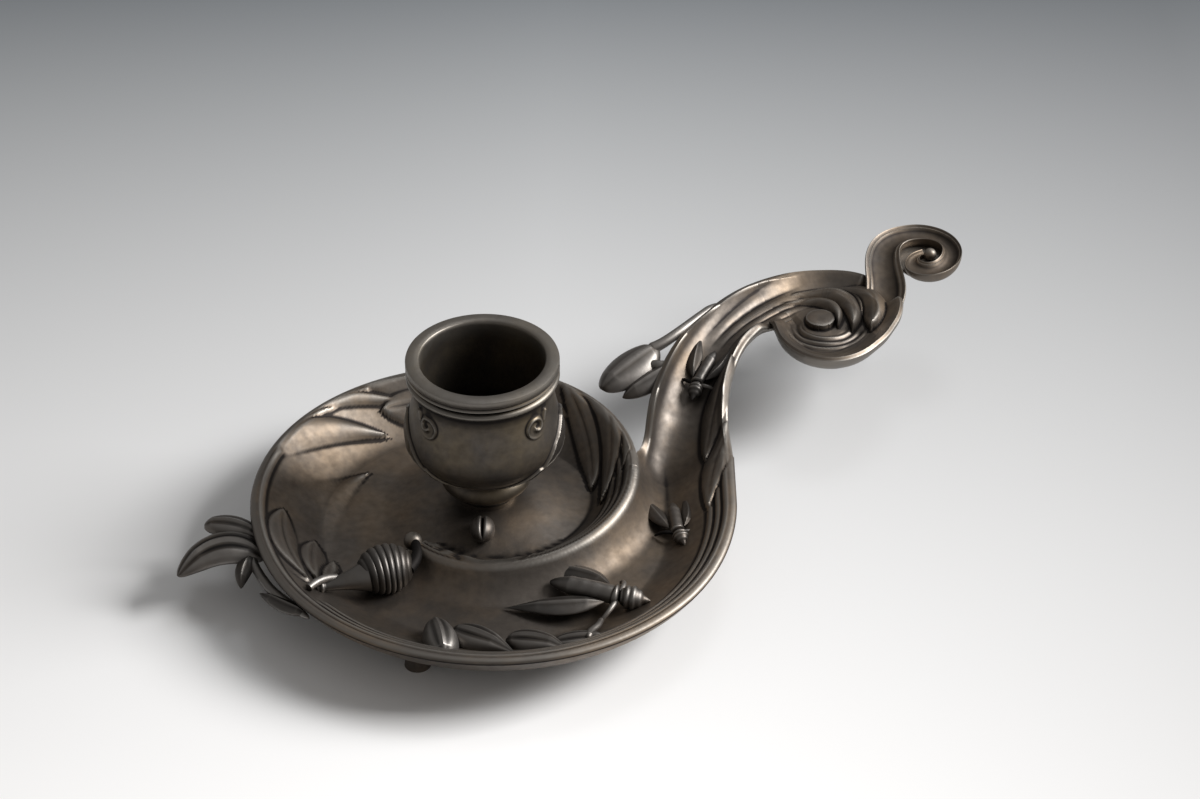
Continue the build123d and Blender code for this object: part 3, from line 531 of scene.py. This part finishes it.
def makeTrough():
    # Channel section carried along the handle. It starts inside the pan's mouth, just under its surface,
    # follows the pan's own height at first, and webs the corner between its left wall and the rim
    first = pan["mouth"] - notch[1] - handle["lead"]
    start = first + handle["lead"]
    runs = np.linspace(first, handle["end"], handle["rows"])[:, None]
    even = np.linspace(-1, 1, handle["columns"])
    share = (np.sin(even * np.pi / 2) * 0.25 + even * 0.75)[None, :]
    place, right = handlePath(runs)
    out = smoothStep(first, start, runs)  # 1 once the handle has left the pan
    half = handleHalf(runs) - handle["tuck"] * (1 - out)
    spread = bandSpread(runs) + handle["web"] * out * (1 - smoothStep(start + 2, start + 9, runs))
    plan = place + right * (share * half + spread * np.minimum(share, 0))[..., None]
    x, y = plan[..., 0], plan[..., 1]
    own = bandHeight(runs, share, half) - 0.06 * smoothStep(handle["end"] - 1.5, handle["end"], runs)
    for leaf in panLeaves[-2:]:
        own = own + leafLift(x, y, leaf) * (1 - np.abs(share) ** 8)
    lead = panHeight(x, y) - 0.03 * (runs < start)
    lead = lead - handle["sink"] * (1 - smoothStep(first, start - 0.5, runs))
    lead = lead - 0.25 * (insetFrom(rimArcs, x, y)[0] > 0) * (runs > start)  # hidden in the pan's own wall
    mixed = lead + (own - lead) * smoothStep(start + 0.1, handle["blend"], runs)
    top = np.dstack([plan, mixed])
    back = share[:, ::-1]
    under = place + right * (back * (half - 0.05) + spread * np.minimum(back, 0))[..., None]
    low = handleFloor(runs) - handle["thick"] * (0.6 + 0.4 * smoothStep(first, handle["blend"], runs))
    sides = np.where(back > 0, mixed[:, -1:], mixed[:, :1]) - 0.5
    fall = np.maximum(sides - low, 0.3)
    bend = (half ** 2 + fall ** 2) / (2 * fall)
    arc = low + bend - np.sqrt(np.maximum(bend ** 2 - (back * half) ** 2, 0))
    arc = np.minimum(np.minimum(arc, sides), mixed[:, ::-1] - 0.4 - 1.2 * (1 - back ** 4))  # under the top
    rings = np.concatenate([top, np.dstack([under, arc])], axis=1)
    ringSkin("troughSkin", rings, "pan_metal", ("handle_trough",))


makeTrough()


scroll = {"eye": (64.6, 41.2), "rim": 21.3, "eyeR": 2.9, "eyeDrop": 1, "columns": 420,
          "outline": ((-17, 14.74), (6.9, 16.5), (15, 17.3), (22.9, 17.2), (38, 16.6), (53.7, 16.4),
                      (66.4, 15.8), (82.2, 15.4), (98, 15.2), (160, 12.4), (172, 10.3), (180, 9.7),
                      (207.8, 10.3), (235.2, 12.8), (256.1, 15), (274.6, 16.15), (292.7, 15.8),
                      (316.7, 14.6)),
          "section": ((0, 0.2, 0.34, 0.46, 0.58, 0.7, 0.82, 0.92, 0.96, 1),
                      (2.4, 2.4, 2.6, 3.2, 3.2, 2.5, 1.4, 0.3, 0, 0.5)),  # depth by share of radius
          "underside": ((1, 0.9), (0.995, 1.4), (0.97, 2.2), (0.92, 3.2), (0.84, 4.1), (0.72, 4.7),
                        (0.5, 5), (0.02, 5)),
          "bandRuns": (49, 57), "reedH": 0.16, "reedW": 1.35, "reedFirst": 3.6, "reedDrift": 2.2,
          "strandDepth": 2.4, "strand": {"groove": 0.1, "round": 0.95, "grow": 0.5},
          # Degrees round the eye: the higher lip, the cut for the neck, and the reeds, with their lanes
          "raisedAt": (-20, 18, 60, 90), "neckAt": (17, 26, 44, 54), "reedsAt": (175, 205, 330, 358),
          "lanes": (0, 0.3, 2.9, 3.2), "raised": 0.4, "neckDepth": 2, "neckDrop": 1.2}
scrollStrands = [  # leaf strands that come off the band and bend round the eye
    {"spine": [(55, 46.6), (69.6, 52), (68, 39.4)], "width": 1.6, "height": 2, "lean": 1.3},
    {"spine": [(56, 49.6), (74.6, 55), (70.8, 38.8)], "width": 2.2, "height": 2.2, "lean": 1.5},
    {"spine": [(62, 53), (79.6, 54.6), (74.4, 38.4)], "width": 3, "height": 2.4, "lean": 1.7, "grow": 0.7},
]


def makeScroll():
    # Polar grid round the eye, out to an outline given by radii at some angles and the band's left edge.
    # Depth follows the share of that radius; reeds wind round the eye below, and strands lie above
    eye, rim = scroll["eye"], scroll["rim"]
    angle = np.linspace(0, 360, scroll["columns"], endpoint=False)
    runs = np.linspace(*scroll["bandRuns"], 7)
    place, right = handlePath(runs)
    bandEdge = place - right * (handleHalf(runs) + bandSpread(runs))[:, None] - np.array(eye)
    angles, radii = np.array(scroll["outline"]).T
    angles = np.append(angles, np.degrees(np.arctan2(bandEdge[:, 1], bandEdge[:, 0])))
    radii = np.append(radii, np.hypot(*bandEdge.T))
    order = np.argsort(angles)
    edge = evened(np.interp(angle, angles[order], radii[order], period=360), 60)
    shares = np.concatenate([np.linspace(0.02, 0.86, 80), np.linspace(0.87, 1, 20)])[:, None]
    r = shares * edge
    depth = np.interp(shares, *scroll["section"]) + 0 * r
    about = (angle + 180) % 360 - 180
    raised = scroll["raised"] * plateau(*scroll["raisedAt"], about)
    depth = depth - raised * smoothStep(0.6, 0.95, shares)
    deep = np.maximum(depth, scroll["neckDepth"]) + scroll["neckDrop"] * smoothStep(0.78, 1, shares)
    depth = depth + plateau(*scroll["neckAt"], angle) * (deep - depth)
    lane = (r - scroll["reedFirst"] - scroll["reedDrift"] * (angle - 200) / 150) / scroll["reedW"]
    reed = plateau(*scroll["reedsAt"], angle) * scroll["reedH"] * (1 - np.cos(2 * np.pi * lane))
    depth = depth - reed * plateau(*scroll["lanes"], lane)
    plan = onCircle(eye, r, angle[None, :])
    boss = rim - scroll["eyeDrop"] - 0.35 * (r / scroll["eyeR"]) ** 4
    z = np.where(r < scroll["eyeR"], boss, rim - depth)
    away = plan - (handleStart + [handle["bendR"], handle["straight"]])  # from the centre of the bend
    run = handle["straight"] + handle["bendR"] * (np.pi - np.arctan2(away[..., 1], away[..., 0]))
    half = handleHalf(run)
    across = (handle["bendR"] - np.hypot(away[..., 0], away[..., 1])) / half
    across = np.where(across < 0, across * half / (half + bandSpread(run)), across)
    bandZ = bandHeight(run, np.clip(across, -1, 1), half) - 0.05 + 0.05 * smoothStep(48.5, 51, run)
    z = z + (bandZ - z) * (1 - smoothStep(51, 60, run)) * (1 - smoothStep(0.5, 1.2, across))
    for strand in scrollStrands:
        lift = leafLift(plan[..., 0], plan[..., 1], scroll["strand"] | strand)
        root = np.minimum(z, rim - scroll["strandDepth"])
        z = np.where(lift > 0.02, np.maximum(z, root + lift), z)
    under = []
    for share, drop in scroll["underside"]:
        low = np.minimum(rim - drop, z[-1] - 0.3)
        under.append(np.column_stack([onCircle(eye, share * edge, angle), low]))
    rings = np.concatenate([np.dstack([plan, z]), np.array(under)])
    ringSkin("scrollSkin", rings, "pan_metal", ("handle_scroll",))


makeScroll()


ribbon = {  # the two edges of the neck and curl, from the scroll's right side to the pearl
    "outer": [(72.4, 41, 18.8), (73.2, 44, 19.6), (73.9, 47.4, 20.6), (74.4, 51.6, 22), (74.1, 57, 24.1),
              (75.9, 62.5, 24.8), (79.7, 66.4, 24.9), (85.8, 68.1, 24.9), (90.3, 66.4, 24.9),
              (93.1, 63.4, 24.8), (94.3, 58.8, 24.8), (93.2, 54.2, 24.7), (90.4, 50.9, 24.6),
              (87, 49.5, 24.5), (83.9, 50.2, 24.3), (82, 52.6, 24), (82.2, 56.2, 23.6), (83.8, 59.4, 23.3),
              (86.2, 60.9, 23.1)],
    "inner": [(78.4, 39.6, 20.4), (80.2, 42.2, 20.9), (81.6, 45.6, 21.6), (82.3, 49.6, 22.5),
              (81.2, 55.4, 24.2), (81.5, 60, 24.7), (83.7, 62.2, 24.8), (87, 62.7, 24.8), (89, 61.8, 24.7),
              (90, 60.4, 24.7), (90.1, 58.6, 24.6), (89.5, 56.6, 24.5), (88.3, 55.3, 24.3),
              (87, 54.9, 24.1), (85.9, 55.4, 23.9), (85.3, 56.6, 23.6), (85.4, 58, 23.4), (86.3, 58.8, 23.2),
              (87.3, 58.7, 23.1)],
    "depth": 1.7, "thick": 1.7, "edge": 0.6, "rise": 2, "rows": 300, "pearl": (87.6, 58.5, 23.4),
    "pearlR": 1.25,
    "web": (86.4, 58.4), "webReach": ((0, 60, 120, 180, 240, 300), (6.6, 7.6, 7.4, 5.4, 6.2, 6.8)),
    "webRings": ((0.02, 22.3), (0.5, 22.3), (0.97, 22.2), (1, 21.9), (0.97, 21.5), (0.5, 21.3),
                 (0.02, 21.3))}


def makeRibbon():
    # Between its edges the ribbon is hollow above and round below; it rises out of the scroll at its start
    outer, inner = (alongPoints(ribbon[key], ribbon["rows"]) for key in ("outer", "inner"))
    middle, reach = (outer * 0.5 + inner * 0.5)[:, None], ((inner - outer) / 2)[:, None]
    s = np.linspace(0, 1, ribbon["rows"])[:, None]
    slim = 1 - 0.6 * smoothStep(0.62, 1, s)
    across = np.sin(np.radians(np.linspace(-90, 90, 34)))[None, :]
    sunk = ribbon["rise"] * (1 - smoothStep(0, 0.15 - 0.05 * across, s))
    top = middle + reach * across[..., None]
    sag = ribbon["depth"] * slim * (1 - np.abs(across) ** 2.2)
    sag = sag - 0.22 * np.exp(-((np.abs(across) - 0.72) / 0.06) ** 2)  # a bead inside each edge
    top[..., 2] -= sag + 0.4 * np.clip((np.abs(across) - 0.93) / 0.07, 0, 1) ** 2 + sunk
    floorZ = scroll["rim"] - 4.5 + 2.0 * smoothStep(-0.2, 0.6, across) * (1 - smoothStep(0.1, 0.24, s))
    top[..., 2] = np.maximum(top[..., 2], floorZ + 0.5)  # stays inside the scroll's dish
    back = across[:, ::-1]
    under = middle + reach * back[..., None]
    fullness = ribbon["depth"] + ribbon["thick"] * smoothStep(0.06, 0.24, s) - ribbon["edge"]
    under[..., 2] -= ribbon["edge"] + fullness * slim * np.sqrt(1 - back ** 2) + sunk[:, ::-1]
    under[..., 2] = np.maximum(under[..., 2], floorZ[:, ::-1])
    ringSkin("curlSkin", np.concatenate([top, under], axis=1), "pan_metal", ("handle_curl",))
    angle = np.linspace(0, 360, 120, endpoint=False)
    webR = np.interp(angle, *ribbon["webReach"], period=360)
    web = [np.column_stack([onCircle(ribbon["web"], webR * share, angle), np.full(len(angle), z)])
           for share, z in ribbon["webRings"]]
    ringSkin("curlWeb", np.array(web), "pan_metal")
    ringSkin("pearlSkin", sphere(ribbon["pearl"], ribbon["pearlR"], 30, 30), "pan_metal")


makeRibbon()
print("handle made")


cup = {"top": 40, "ringR": 14, "boreR": 11.4, "ringH": 2.4, "grooveD": 0.9, "grooveH": 0.6,
       "collarH": 1.4, "neckR": 12.9, "neckH": 2.1, "bellyR": 14.4, "bellyZ": 23.5, "seatZ": 16,
       "boreZ": 20.3, "startR": 0.3, "columns": 560, "fieldH": 0.4, "borderH": 0.2, "petalZ": 19,
       "petalRise": 2.4, "petalH": 0.4,
       "bowl": ((16, 16.4, 17, 17.5, 18, 18.6, 19.3, 20.1, 21, 22, 22.8, 23.5),
                (6.2, 6.7, 7.7, 8.8, 9.9, 11.1, 12.2, 13.1, 13.75, 14.15, 14.35, 14.4)),
       "fieldZ": (16, 19, 21, 23, 25, 26.5, 28), "fieldWidth": (62, 56, 48, 38, 28, 18, 6),
       "curls": ((-42, 1), (-138, -1), (42, -1), (138, 1)), "curlZ": 31, "curlH": 0.55,
       "curlR": 2.5}


def makeCup():
    # Half section turned round the candle, from the bore's floor over the ring and down to the seat. Outside
    # it has a pointed field on the left and right, a petal in front and behind, and curls under the collar
    topZ, ringR, boreR, boreZ = cup["top"], cup["ringR"], cup["boreR"], cup["boreZ"]
    ringZ = topZ - cup["ringH"]
    grooveZ = ringZ - cup["grooveH"]
    collarZ = grooveZ - cup["collarH"]
    neckZ = collarZ - cup["neckH"]
    grooveR = ringR - cup["grooveD"]
    bore = [(cup["startR"], boreZ), (boreR - 0.4, boreZ), (boreR, boreZ + 0.4)]
    bore += [(boreR, z) for z in np.linspace(boreZ + 1, topZ - 0.8, 12)]
    mouth = [(boreR + 0.12, topZ - 0.2), (boreR + 0.35, topZ), (boreR + 1.2, topZ), (ringR - 0.4, topZ),
             (ringR - 0.1, topZ - 0.1), (ringR, topZ - 0.4), (ringR, ringZ + 1),
             (ringR - 0.25, ringZ + 0.75), (ringR - 0.05, ringZ + 0.5), (ringR, ringZ + 0.2),
             (ringR - 0.2, ringZ), (grooveR, ringZ - 0.1), (grooveR, grooveZ + 0.1)]
    turn = np.radians(np.linspace(80, -80, 7))
    collarUp = (collarZ + grooveZ) / 2 + cup["collarH"] / 2 * np.sin(turn)
    collar = list(zip(grooveR + cup["grooveD"] * np.cos(turn), collarUp))
    flare = [(grooveR - 0.02, collarZ - 0.1)]
    flare += [(cup["neckR"] + 0.2 * s ** 2, neckZ + s * (collarZ - neckZ)) for s in (0.7, 0.4, 0.1)]
    down = np.linspace(0, 1, 64)[1:]
    waist = cup["bellyR"] - (cup["bellyR"] - cup["neckR"]) * (1 - smoothStep(0, 1, down))
    low = np.linspace(cup["bellyZ"], cup["seatZ"], 60)[1:]
    body = list(zip(waist, neckZ + down * (cup["bellyZ"] - neckZ)))
    body += list(zip(np.interp(low, *cup["bowl"]), low))
    section = np.array(bore + mouth + collar + flare + body + [(cup["startR"], cup["seatZ"])])
    angle = np.linspace(0, 360, cup["columns"], endpoint=False)[None, :]
    radius, z = section[:, :1], section[:, 1:]
    outside = np.arange(len(section))[:, None] >= len(bore + mouth + collar + flare)
    toSide = np.abs((angle + 90) % 180 - 90)  # degrees from the nearer side, left or right
    inField = np.interp(z, cup["fieldZ"], cup["fieldWidth"]) - toSide
    below = z < cup["fieldZ"][-1]
    field = smoothStep(0, 2.2, inField) * below
    border = np.exp(-((inField - 2.4) / 1.3) ** 2) * below
    lift = cup["fieldH"] * field + cup["borderH"] * border
    inPetal = cup["petalZ"] + cup["petalRise"] * np.clip((90 - toSide) / 38, 0, 1.2) ** 2 - z
    petal = cup["petalH"] * smoothStep(0, 0.5, inPetal) + 0.16 * np.exp(-((inPetal - 0.5) / 0.3) ** 2)
    lift = np.maximum(lift, petal)
    rib = 0.12 * np.exp(-(toSide / 3) ** 2)
    lift = lift + rib * field - 0.1 * np.exp(-((toSide - 24) / 2.5) ** 2) * field
    for middle, way in cup["curls"]:
        dx = ((angle - middle + 180) % 360 - 180) * np.pi / 180 * cup["neckR"] * way
        dz = z - cup["curlZ"]
        away = np.hypot(dx, dz)
        phase = (away - 0.36 * np.arctan2(dz, dx)) / 2.26  # a spiral: distance grows with the angle
        line = np.exp(-((phase % 1 - 0.5) / 0.2) ** 2)
        line = line * smoothStep(cup["curlR"], cup["curlR"] - 0.4, away) * smoothStep(0.1, 0.4, away)
        stalk = np.exp(-((dx - 1.9 - 0.35 * (dz - 0.5)) / 0.45) ** 2)
        stalk = stalk * smoothStep(0, 0.6, dz) * smoothStep(3.4, 2.8, dz)
        lift = np.maximum(lift, cup["curlH"] * np.maximum(line, stalk))
    radius = radius + lift * outside
    turned = np.radians(angle)
    rings = np.dstack([radius * np.cos(turned), radius * np.sin(turned), np.broadcast_to(z, radius.shape)])
    ringSkin("cupSkin", rings, "socket_metal", ("socket_cup",))


makeCup()


bud = {"place": (-17.3, -23.6, 9.6), "heading": 18, "length": 10.2, "radius": 4.8, "squash": 0.95,
       "sway": 0.5, "ribs": 8, "ribDepth": 0.1}


def makeBud():
    # Ellipsoid along its stem with ribs round it: radius times 1 less a little at each rib's border
    s = np.linspace(0.01, 0.99, 150)
    girth = bud["radius"] * np.sqrt(1 - (2 * s - 1) ** 2) ** 0.9
    rib = 1 - bud["ribDepth"] * (1 - np.abs(np.sin(np.pi * bud["ribs"] * s)) ** 0.6)
    path = np.stack([(s - 0.5) * bud["length"], bud["sway"] * np.sin(np.pi * s), 0 * s], axis=-1)
    rings = turnedTube(path, girth * rib, 72, bud["squash"])
    ringSkin("budSkin", headed(bud["place"], bud["heading"], rings), "ornament_metal", ("bud",))


makeBud()


stem = {"bell": [(-29.6, -28, 9.4), (-26, -26.6, 9), (-20.6, -24.8, 9.4)], "bellR": 0.95, "flare": 2.2,
        "collar": [(-30.6, -30.2, 11.2), (-28.6, -27.4, 11.4), (-26.2, -25.6, 9.6)], "collarR": 0.75,
        "tendril": [(-13.2, -23.6, 10), (-10.8, -20, 10.6), (ball[0], ball[1], 10.6)],
        "tendrilR": 1.15, "taper": 0.35, "ballR": 1.7, "ballZ": 10.2}


def makeStem():
    # A bell from the collar to the bud, and a tendril from the bud's far side to the ball
    s = np.linspace(0, 1, 60)
    bell = stem["bellR"] + stem["flare"] * s ** 2.2 + 0.35 * np.exp(-((s - 0.12) / 0.05) ** 2)
    ringSkin("stemSkin", turnedTube(curve(stem["bell"], s), bell, 40, 0.9), "ornament_metal", ("bud_stem",))
    collar = turnedTube(curve(stem["collar"], s), stem["collarR"] + 0 * s, 16)
    ringSkin("collarSkin", collar, "ornament_metal")
    girth = stem["tendrilR"] - stem["taper"] * s
    ringSkin("tendrilSkin", turnedTube(curve(stem["tendril"], s), girth, 20), "ornament_metal")
    ringSkin("ballSkin", sphere((ball[0], ball[1], stem["ballZ"]), stem["ballR"], 40, 36), "pan_metal")


makeStem()


seed = {"place": (-0.3, -12.1, 9.3), "length": 5.6, "radius": 2.3, "arch": 0.5, "cleft": 1.1, "cleftW": 0.28}


def makeSeed():
    # Spindle pointed at both ends with a cleft along its top
    t = np.linspace(0.02, np.pi - 0.02, 70)
    path = np.stack([0 * t, -seed["length"] / 2 * np.cos(t), seed["arch"] * np.sin(t)], axis=-1)
    rings = turnedTube(path, seed["radius"] * np.sin(t) ** 0.9, 72)
    above = rings[..., 2] > path[:, None, 2]
    cleft = seed["cleft"] * np.exp(-(rings[..., 0] / seed["cleftW"]) ** 2)
    rings[..., 2] -= cleft * above * np.sin(t)[:, None]
    ringSkin("seedSkin", rings + np.array(seed["place"]), "ornament_metal", ("seed",))


makeSeed()


plainBlade = {"lean": 0.9, "tip": 0.8, "ridges": 0}  # unless a blade gives them


def blade(given):
    # Leaf blade: on each side of its spine as wide as width * sin(pi * s^lean)^tip, bowed, with a midrib and
    # ridges on top, closed underneath
    leaf = plainBlade | given
    s = np.linspace(0.005, 0.995, 70)
    path = curve(leaf["spine"], s)
    way = np.gradient(path, axis=0)
    side = np.stack([-way[:, 1], way[:, 0], 0 * s], axis=-1)
    side /= np.linalg.norm(side, axis=1, keepdims=True)
    half = (leaf["width"] * np.sin(np.pi * s ** leaf["lean"]) ** leaf["tip"] + 0.06)[:, None]
    turn = np.linspace(0, 2 * np.pi, 40, endpoint=False)[None, :]
    across = np.cos(turn)
    upper = np.maximum(np.sin(turn), 0) ** 0.5
    size = half / leaf["width"]
    z = leaf["thick"] * np.sin(turn) * np.minimum(size * 1.4, 1) - leaf["bow"] * across ** 2 * size
    midrib = 0.22 * np.exp(-(across / 0.14) ** 2)
    z = z + upper * size * (midrib + leaf["ridges"] * np.cos(3 * np.pi * across))
    points = path[:, None] + side[:, None] * (across * half)[..., None]
    points[..., 2] += z
    return points


leaves = {
    "handleLeafSkin": {"spine": [(32.6, 32.6, 18.6), (28.2, 29.6, 18.8), (21.6, 23.4, 15.6)], "width": 4.3,
                       "thick": 1.5, "bow": 1.2, "lean": 1.1, "tip": 0.5, "ridges": 0.06},
    "handleLeafTwo": {"spine": [(34.6, 27, 18), (30.6, 24.4, 17.2), (25.6, 21.4, 15)], "width": 2.5,
                      "thick": 1.1, "bow": 0.8, "tip": 0.7},
    "sideLeafSkin": {"spine": [(-39.5, -20, 9.4), (-48, -14.2, 12.4), (-55, -23.6, 8.2)], "width": 4.1,
                     "thick": 1.6, "bow": 0.7, "lean": 0.85, "tip": 0.6, "ridges": 0.22},
    "sideLobeSkin": {"spine": [(-39.5, -15.6, 9.6), (-45.5, -11.4, 12.2), (-51.4, -12, 10.4)], "width": 2.5,
                     "thick": 1.3, "bow": 0.5, "lean": 1.3, "tip": 0.5, "ridges": 0.1},
    "sideCurlSkin": {"spine": [(-41.5, -19.5, 9.6), (-43.6, -22.5, 10.4), (-43.4, -26, 7.4)], "width": 1.6,
                     "thick": 0.8, "bow": 0.3},
    "rimLeafSkin": {"spine": [(-31, -35, 9.2), (-34.5, -33.4, 9.8), (-39.8, -28.2, 8.2)], "width": 1.5,
                    "thick": 0.8, "bow": 0.3},
    "frontLeafOne": {"spine": [(-5.8, -46.4, 8.2), (-6.4, -41.6, 10.4), (-8.4, -35.4, 7)], "width": 3.1,
                     "thick": 2.4, "bow": 0.6, "lean": 0.95, "tip": 0.45, "ridges": 0.12},
    "frontLeafTwo": {"spine": [(-5, -37.4, 7.4), (-1, -40.4, 10.2), (6.6, -45.2, 8.8)], "width": 3,
                     "thick": 1.3, "bow": 0.9, "lean": 0.8, "tip": 0.9, "ridges": 0.16},
    "frontLeafThree": {"spine": [(4.6, -40.4, 7.6), (9.2, -40.8, 10), (15.6, -44.2, 8.8)], "width": 2.7,
                       "thick": 1.2, "bow": 0.9, "lean": 0.8, "tip": 0.7, "ridges": 0.16},
    "frontLeafFour": {"spine": [(12.6, -42.2, 8.2), (17, -41.4, 10.2), (23.4, -41.6, 9)], "width": 2,
                      "thick": 1, "bow": 0.6, "tip": 0.7, "ridges": 0.14},
}
leafNodes = {"handleLeafSkin": ("handle_leaf",), "sideLeafSkin": ("side_leaf",)}
for name, leaf in leaves.items():
    ringSkin(name, blade(leaf), "ornament_metal", leafNodes.get(name, ()))

stalks = {  # points along a round stalk, and its radius at both ends
    "leafArm": {"points": [(30.2, 31.6, 18.8), (33, 32.4, 19.6), (36.6, 35, 20.8), (40.2, 39.4, 21),
                           (44.4, 44.8, 20.8)], "radii": (1.2, 0.8)},
    "leafHeel": {"points": [(30.4, 28.6, 17.6), (32.4, 27.8, 18), (34.4, 27.4, 18)], "radii": (1.1, 1.1)},
    "rimStalk": {"points": [(-42.4, -18.6, 9.8), (-41, -22.6, 9.2), (-37.6, -28.6, 8.8), (-30.2, -36, 9)],
                 "radii": (0.8, 1.0)},
    "rimTwig": {"points": [(21.6, -34.6, 7.8), (21, -37.6, 8.8), (19.6, -40, 9.6), (19.2, -42.6, 10.4)],
                "radii": (0.5, 0.7)},
}
for name, stalk in stalks.items():
    s = np.linspace(0, 1, 70)
    girth = np.linspace(*stalk["radii"], 70) * np.minimum(1, 9 * np.minimum(s, 1 - s) + 0.02) ** 0.5
    ringSkin(name, turnedTube(alongPoints(stalk["points"], 70), girth, 20), "ornament_metal")


flies = {
    "front": {"node": "front_fly", "place": (24.1, -29.4, 8.2), "heading": -20, "tilt": 0, "size": 1},
    "side": {"node": "side_fly", "place": (35.6, -10.2, 7.7), "heading": -84, "tilt": 0, "size": 0.66},
    "trough": {"node": "trough_fly", "place": (40, 24.4, 16.2), "heading": -118, "tilt": -18, "size": 0.62},
}
flyForm = {  # before its size: x is ahead, y to the left
    "tail": -12.6, "length": 18.8, "abdomenR": 1.75, "collarR": 2.1, "collarHalf": 0.7, "leastR": 0.12,
    "head": ((0.6, 1.0, 1.8, 2.8, 3.8, 4.8, 6.2), (0.8, 1.6, 2.1, 2.25, 1.95, 1.1, 0.12)),
    "leg": ((0.4, 1.4, 0.2), (0.6, 4.2, 1.0), (-1.2, 6.2, -1.8)), "legR": (0.6, 0.35),
    "wing": {"thick": 0.7, "bow": 0.5, "lean": 0.78, "tip": 1.25}}
flyWings = {"LeftWing": {"spine": [(-1.6, 2, 0.6), (-9, 6, 1), (-18.4, 3, -1.8)], "width": 2},
            "RightWing": {"spine": [(-1.4, -2.2, 0.4), (-9, -6, 0.8), (-18.6, -7.6, -1.8)], "width": 2.4}}


def makeFly(key, fly):
    # Tapered abdomen, collar and pointed head along one path, legs, and wings swept back to long thin tips
    s = np.linspace(0.004, 0.996, 150)
    ahead = flyForm["tail"] + flyForm["length"] * s
    abdomen = flyForm["abdomenR"] * np.clip((ahead - flyForm["tail"] + 0.1) / 4, 0, 1) ** 0.5
    abdomen = abdomen * smoothStep(0.6, -0.6, ahead) * (1 - 0.012 * np.cos(2.6 * ahead))
    collar = flyForm["collarR"] * np.sqrt(np.maximum(1 - (ahead / flyForm["collarHalf"]) ** 2, 0))
    head = np.interp(ahead, *flyForm["head"]) * (ahead > flyForm["head"][0][0])
    head = head * (1 - 0.06 * np.cos(5 * ahead))
    girth = np.maximum.reduce([abdomen, collar, head, flyForm["leastR"] + 0 * s])
    path = np.stack([ahead, 0.2 * np.clip(ahead, 0, 9), 0.6 * np.sin(np.pi * s)], axis=-1)
    parts = {"Body": turnedTube(path, girth, 36, 0.95)}
    for side, wing in flyWings.items():
        parts[side] = blade(flyForm["wing"] | wing)
    for side, way in (("LeftLeg", 1), ("RightLeg", -1)):
        leg = curve(np.array(flyForm["leg"]) * [1, way, 1], np.linspace(0, 1, 40))
        parts[side] = turnedTube(leg, np.linspace(*flyForm["legR"], 40), 16)
    for part, shape in parts.items():
        shape = shape * fly["size"]
        shape[..., 2] += shape[..., 0] * np.tan(np.radians(fly["tilt"]))
        replaced = (fly["node"],) if part == "Body" else ()
        ringSkin(key + "Fly" + part, headed(fly["place"], fly["heading"], shape), "ornament_metal", replaced)


for key, fly in flies.items():
    makeFly(key, fly)
print("ornaments made")


# Floor, light and camera
stage = {"floorHalf": 3, "near": (0.9, 0.9, 0.902, 1), "farShade": (0.136, 0.15, 0.164, 1),
         "nearRightShade": (0.46, 0.46, 0.462, 1), "farRightShade": (0.08, 0.088, 0.096, 1),
         "backShadeFrom": -0.08, "backShadeTo": 0.22, "sideShadeFrom": -0.01, "sideShadeTo": 0.14,
         "world": (0.95, 0.925, 0.9, 1), "worldLevel": 0.29}
half = stage["floorHalf"]
floorMesh = bpy.data.meshes.new("floor")
corners = [(-half, -half, 0), (half, -half, 0), (half, half, 0), (-half, half, 0)]
floorMesh.from_pydata(corners, [], [(0, 1, 2, 3)])
floor = inScene("floor", floorMesh)
paper, start, place = newMaterial("paper")
# painted shade on the pale paper: darker towards the back, and towards the window's side
back = start.node("SeparateXYZ", None, {0: place}, 1).within(stage["backShadeFrom"], stage["backShadeTo"])
side = start.node("SeparateXYZ", None, {0: place}, 0).within(stage["sideShadeFrom"], stage["sideShadeTo"])
nearColour = side.blend(stage["near"], stage["nearRightShade"])  # painted shade: darker below the window, evening out its light
colour = back.blend(nearColour, side.blend(stage["farShade"], stage["farRightShade"]))
paperLook = {"Base Color": colour, "Roughness": 0.9, "Specular IOR Level": 0.1}
shader = start.node("BsdfPrincipled", None, paperLook)
start.node("OutputMaterial", None, {"Surface": shader})
floorMesh.materials.append(paper)

world = bpy.data.worlds.new("studio")
world.use_nodes = True
background = world.node_tree.nodes["Background"]
background.inputs["Color"].default_value = stage["world"]
background.inputs["Strength"].default_value = stage["worldLevel"]
bpy.context.scene.world = world

lamps = {  # places in metres from the candle's axis
    "window": {"place": (0.62, 0.06, 0.46), "size": 0.34, "power": 9.5, "colour": (1.0, 0.99, 0.98)},
    "skylight": {"place": (0.165, 0.373, 0.684), "size": 0.22, "power": 0.55, "colour": (0.94, 0.97, 1.0)},
}
target = np.array([axisX + 0.02, axisY, 0.01])
for name, lamp in lamps.items():
    light = bpy.data.lights.new(name, "AREA")
    light.size = lamp["size"]
    light.energy = lamp["power"]
    light.color = lamp["colour"]
    holder = inScene(name, light)
    place = np.array(lamp["place"]) + [axisX, axisY, 0]
    holder.location = place
    dx, dy, dz = place - target
    holder.rotation_euler = (np.arctan2(np.hypot(dx, dy), dz), 0, np.arctan2(dy, dx) + np.pi / 2)

view = {"place": (0.021262, -0.410347, 0.335827), "pitch": 53.35, "lens": 84, "sensor": 36}
camera = bpy.data.cameras.new("camera")
camera.lens = view["lens"]
camera.sensor_width = view["sensor"]
cameraHolder = inScene("camera", camera)
cameraHolder.location = np.array(view["place"]) + [axisX, axisY, 0]
cameraHolder.rotation_euler = (np.radians(view["pitch"]), 0, 0)
bpy.context.scene.camera = cameraHolder
bpy.context.scene.view_settings.view_transform = "Standard"
print("stage set")
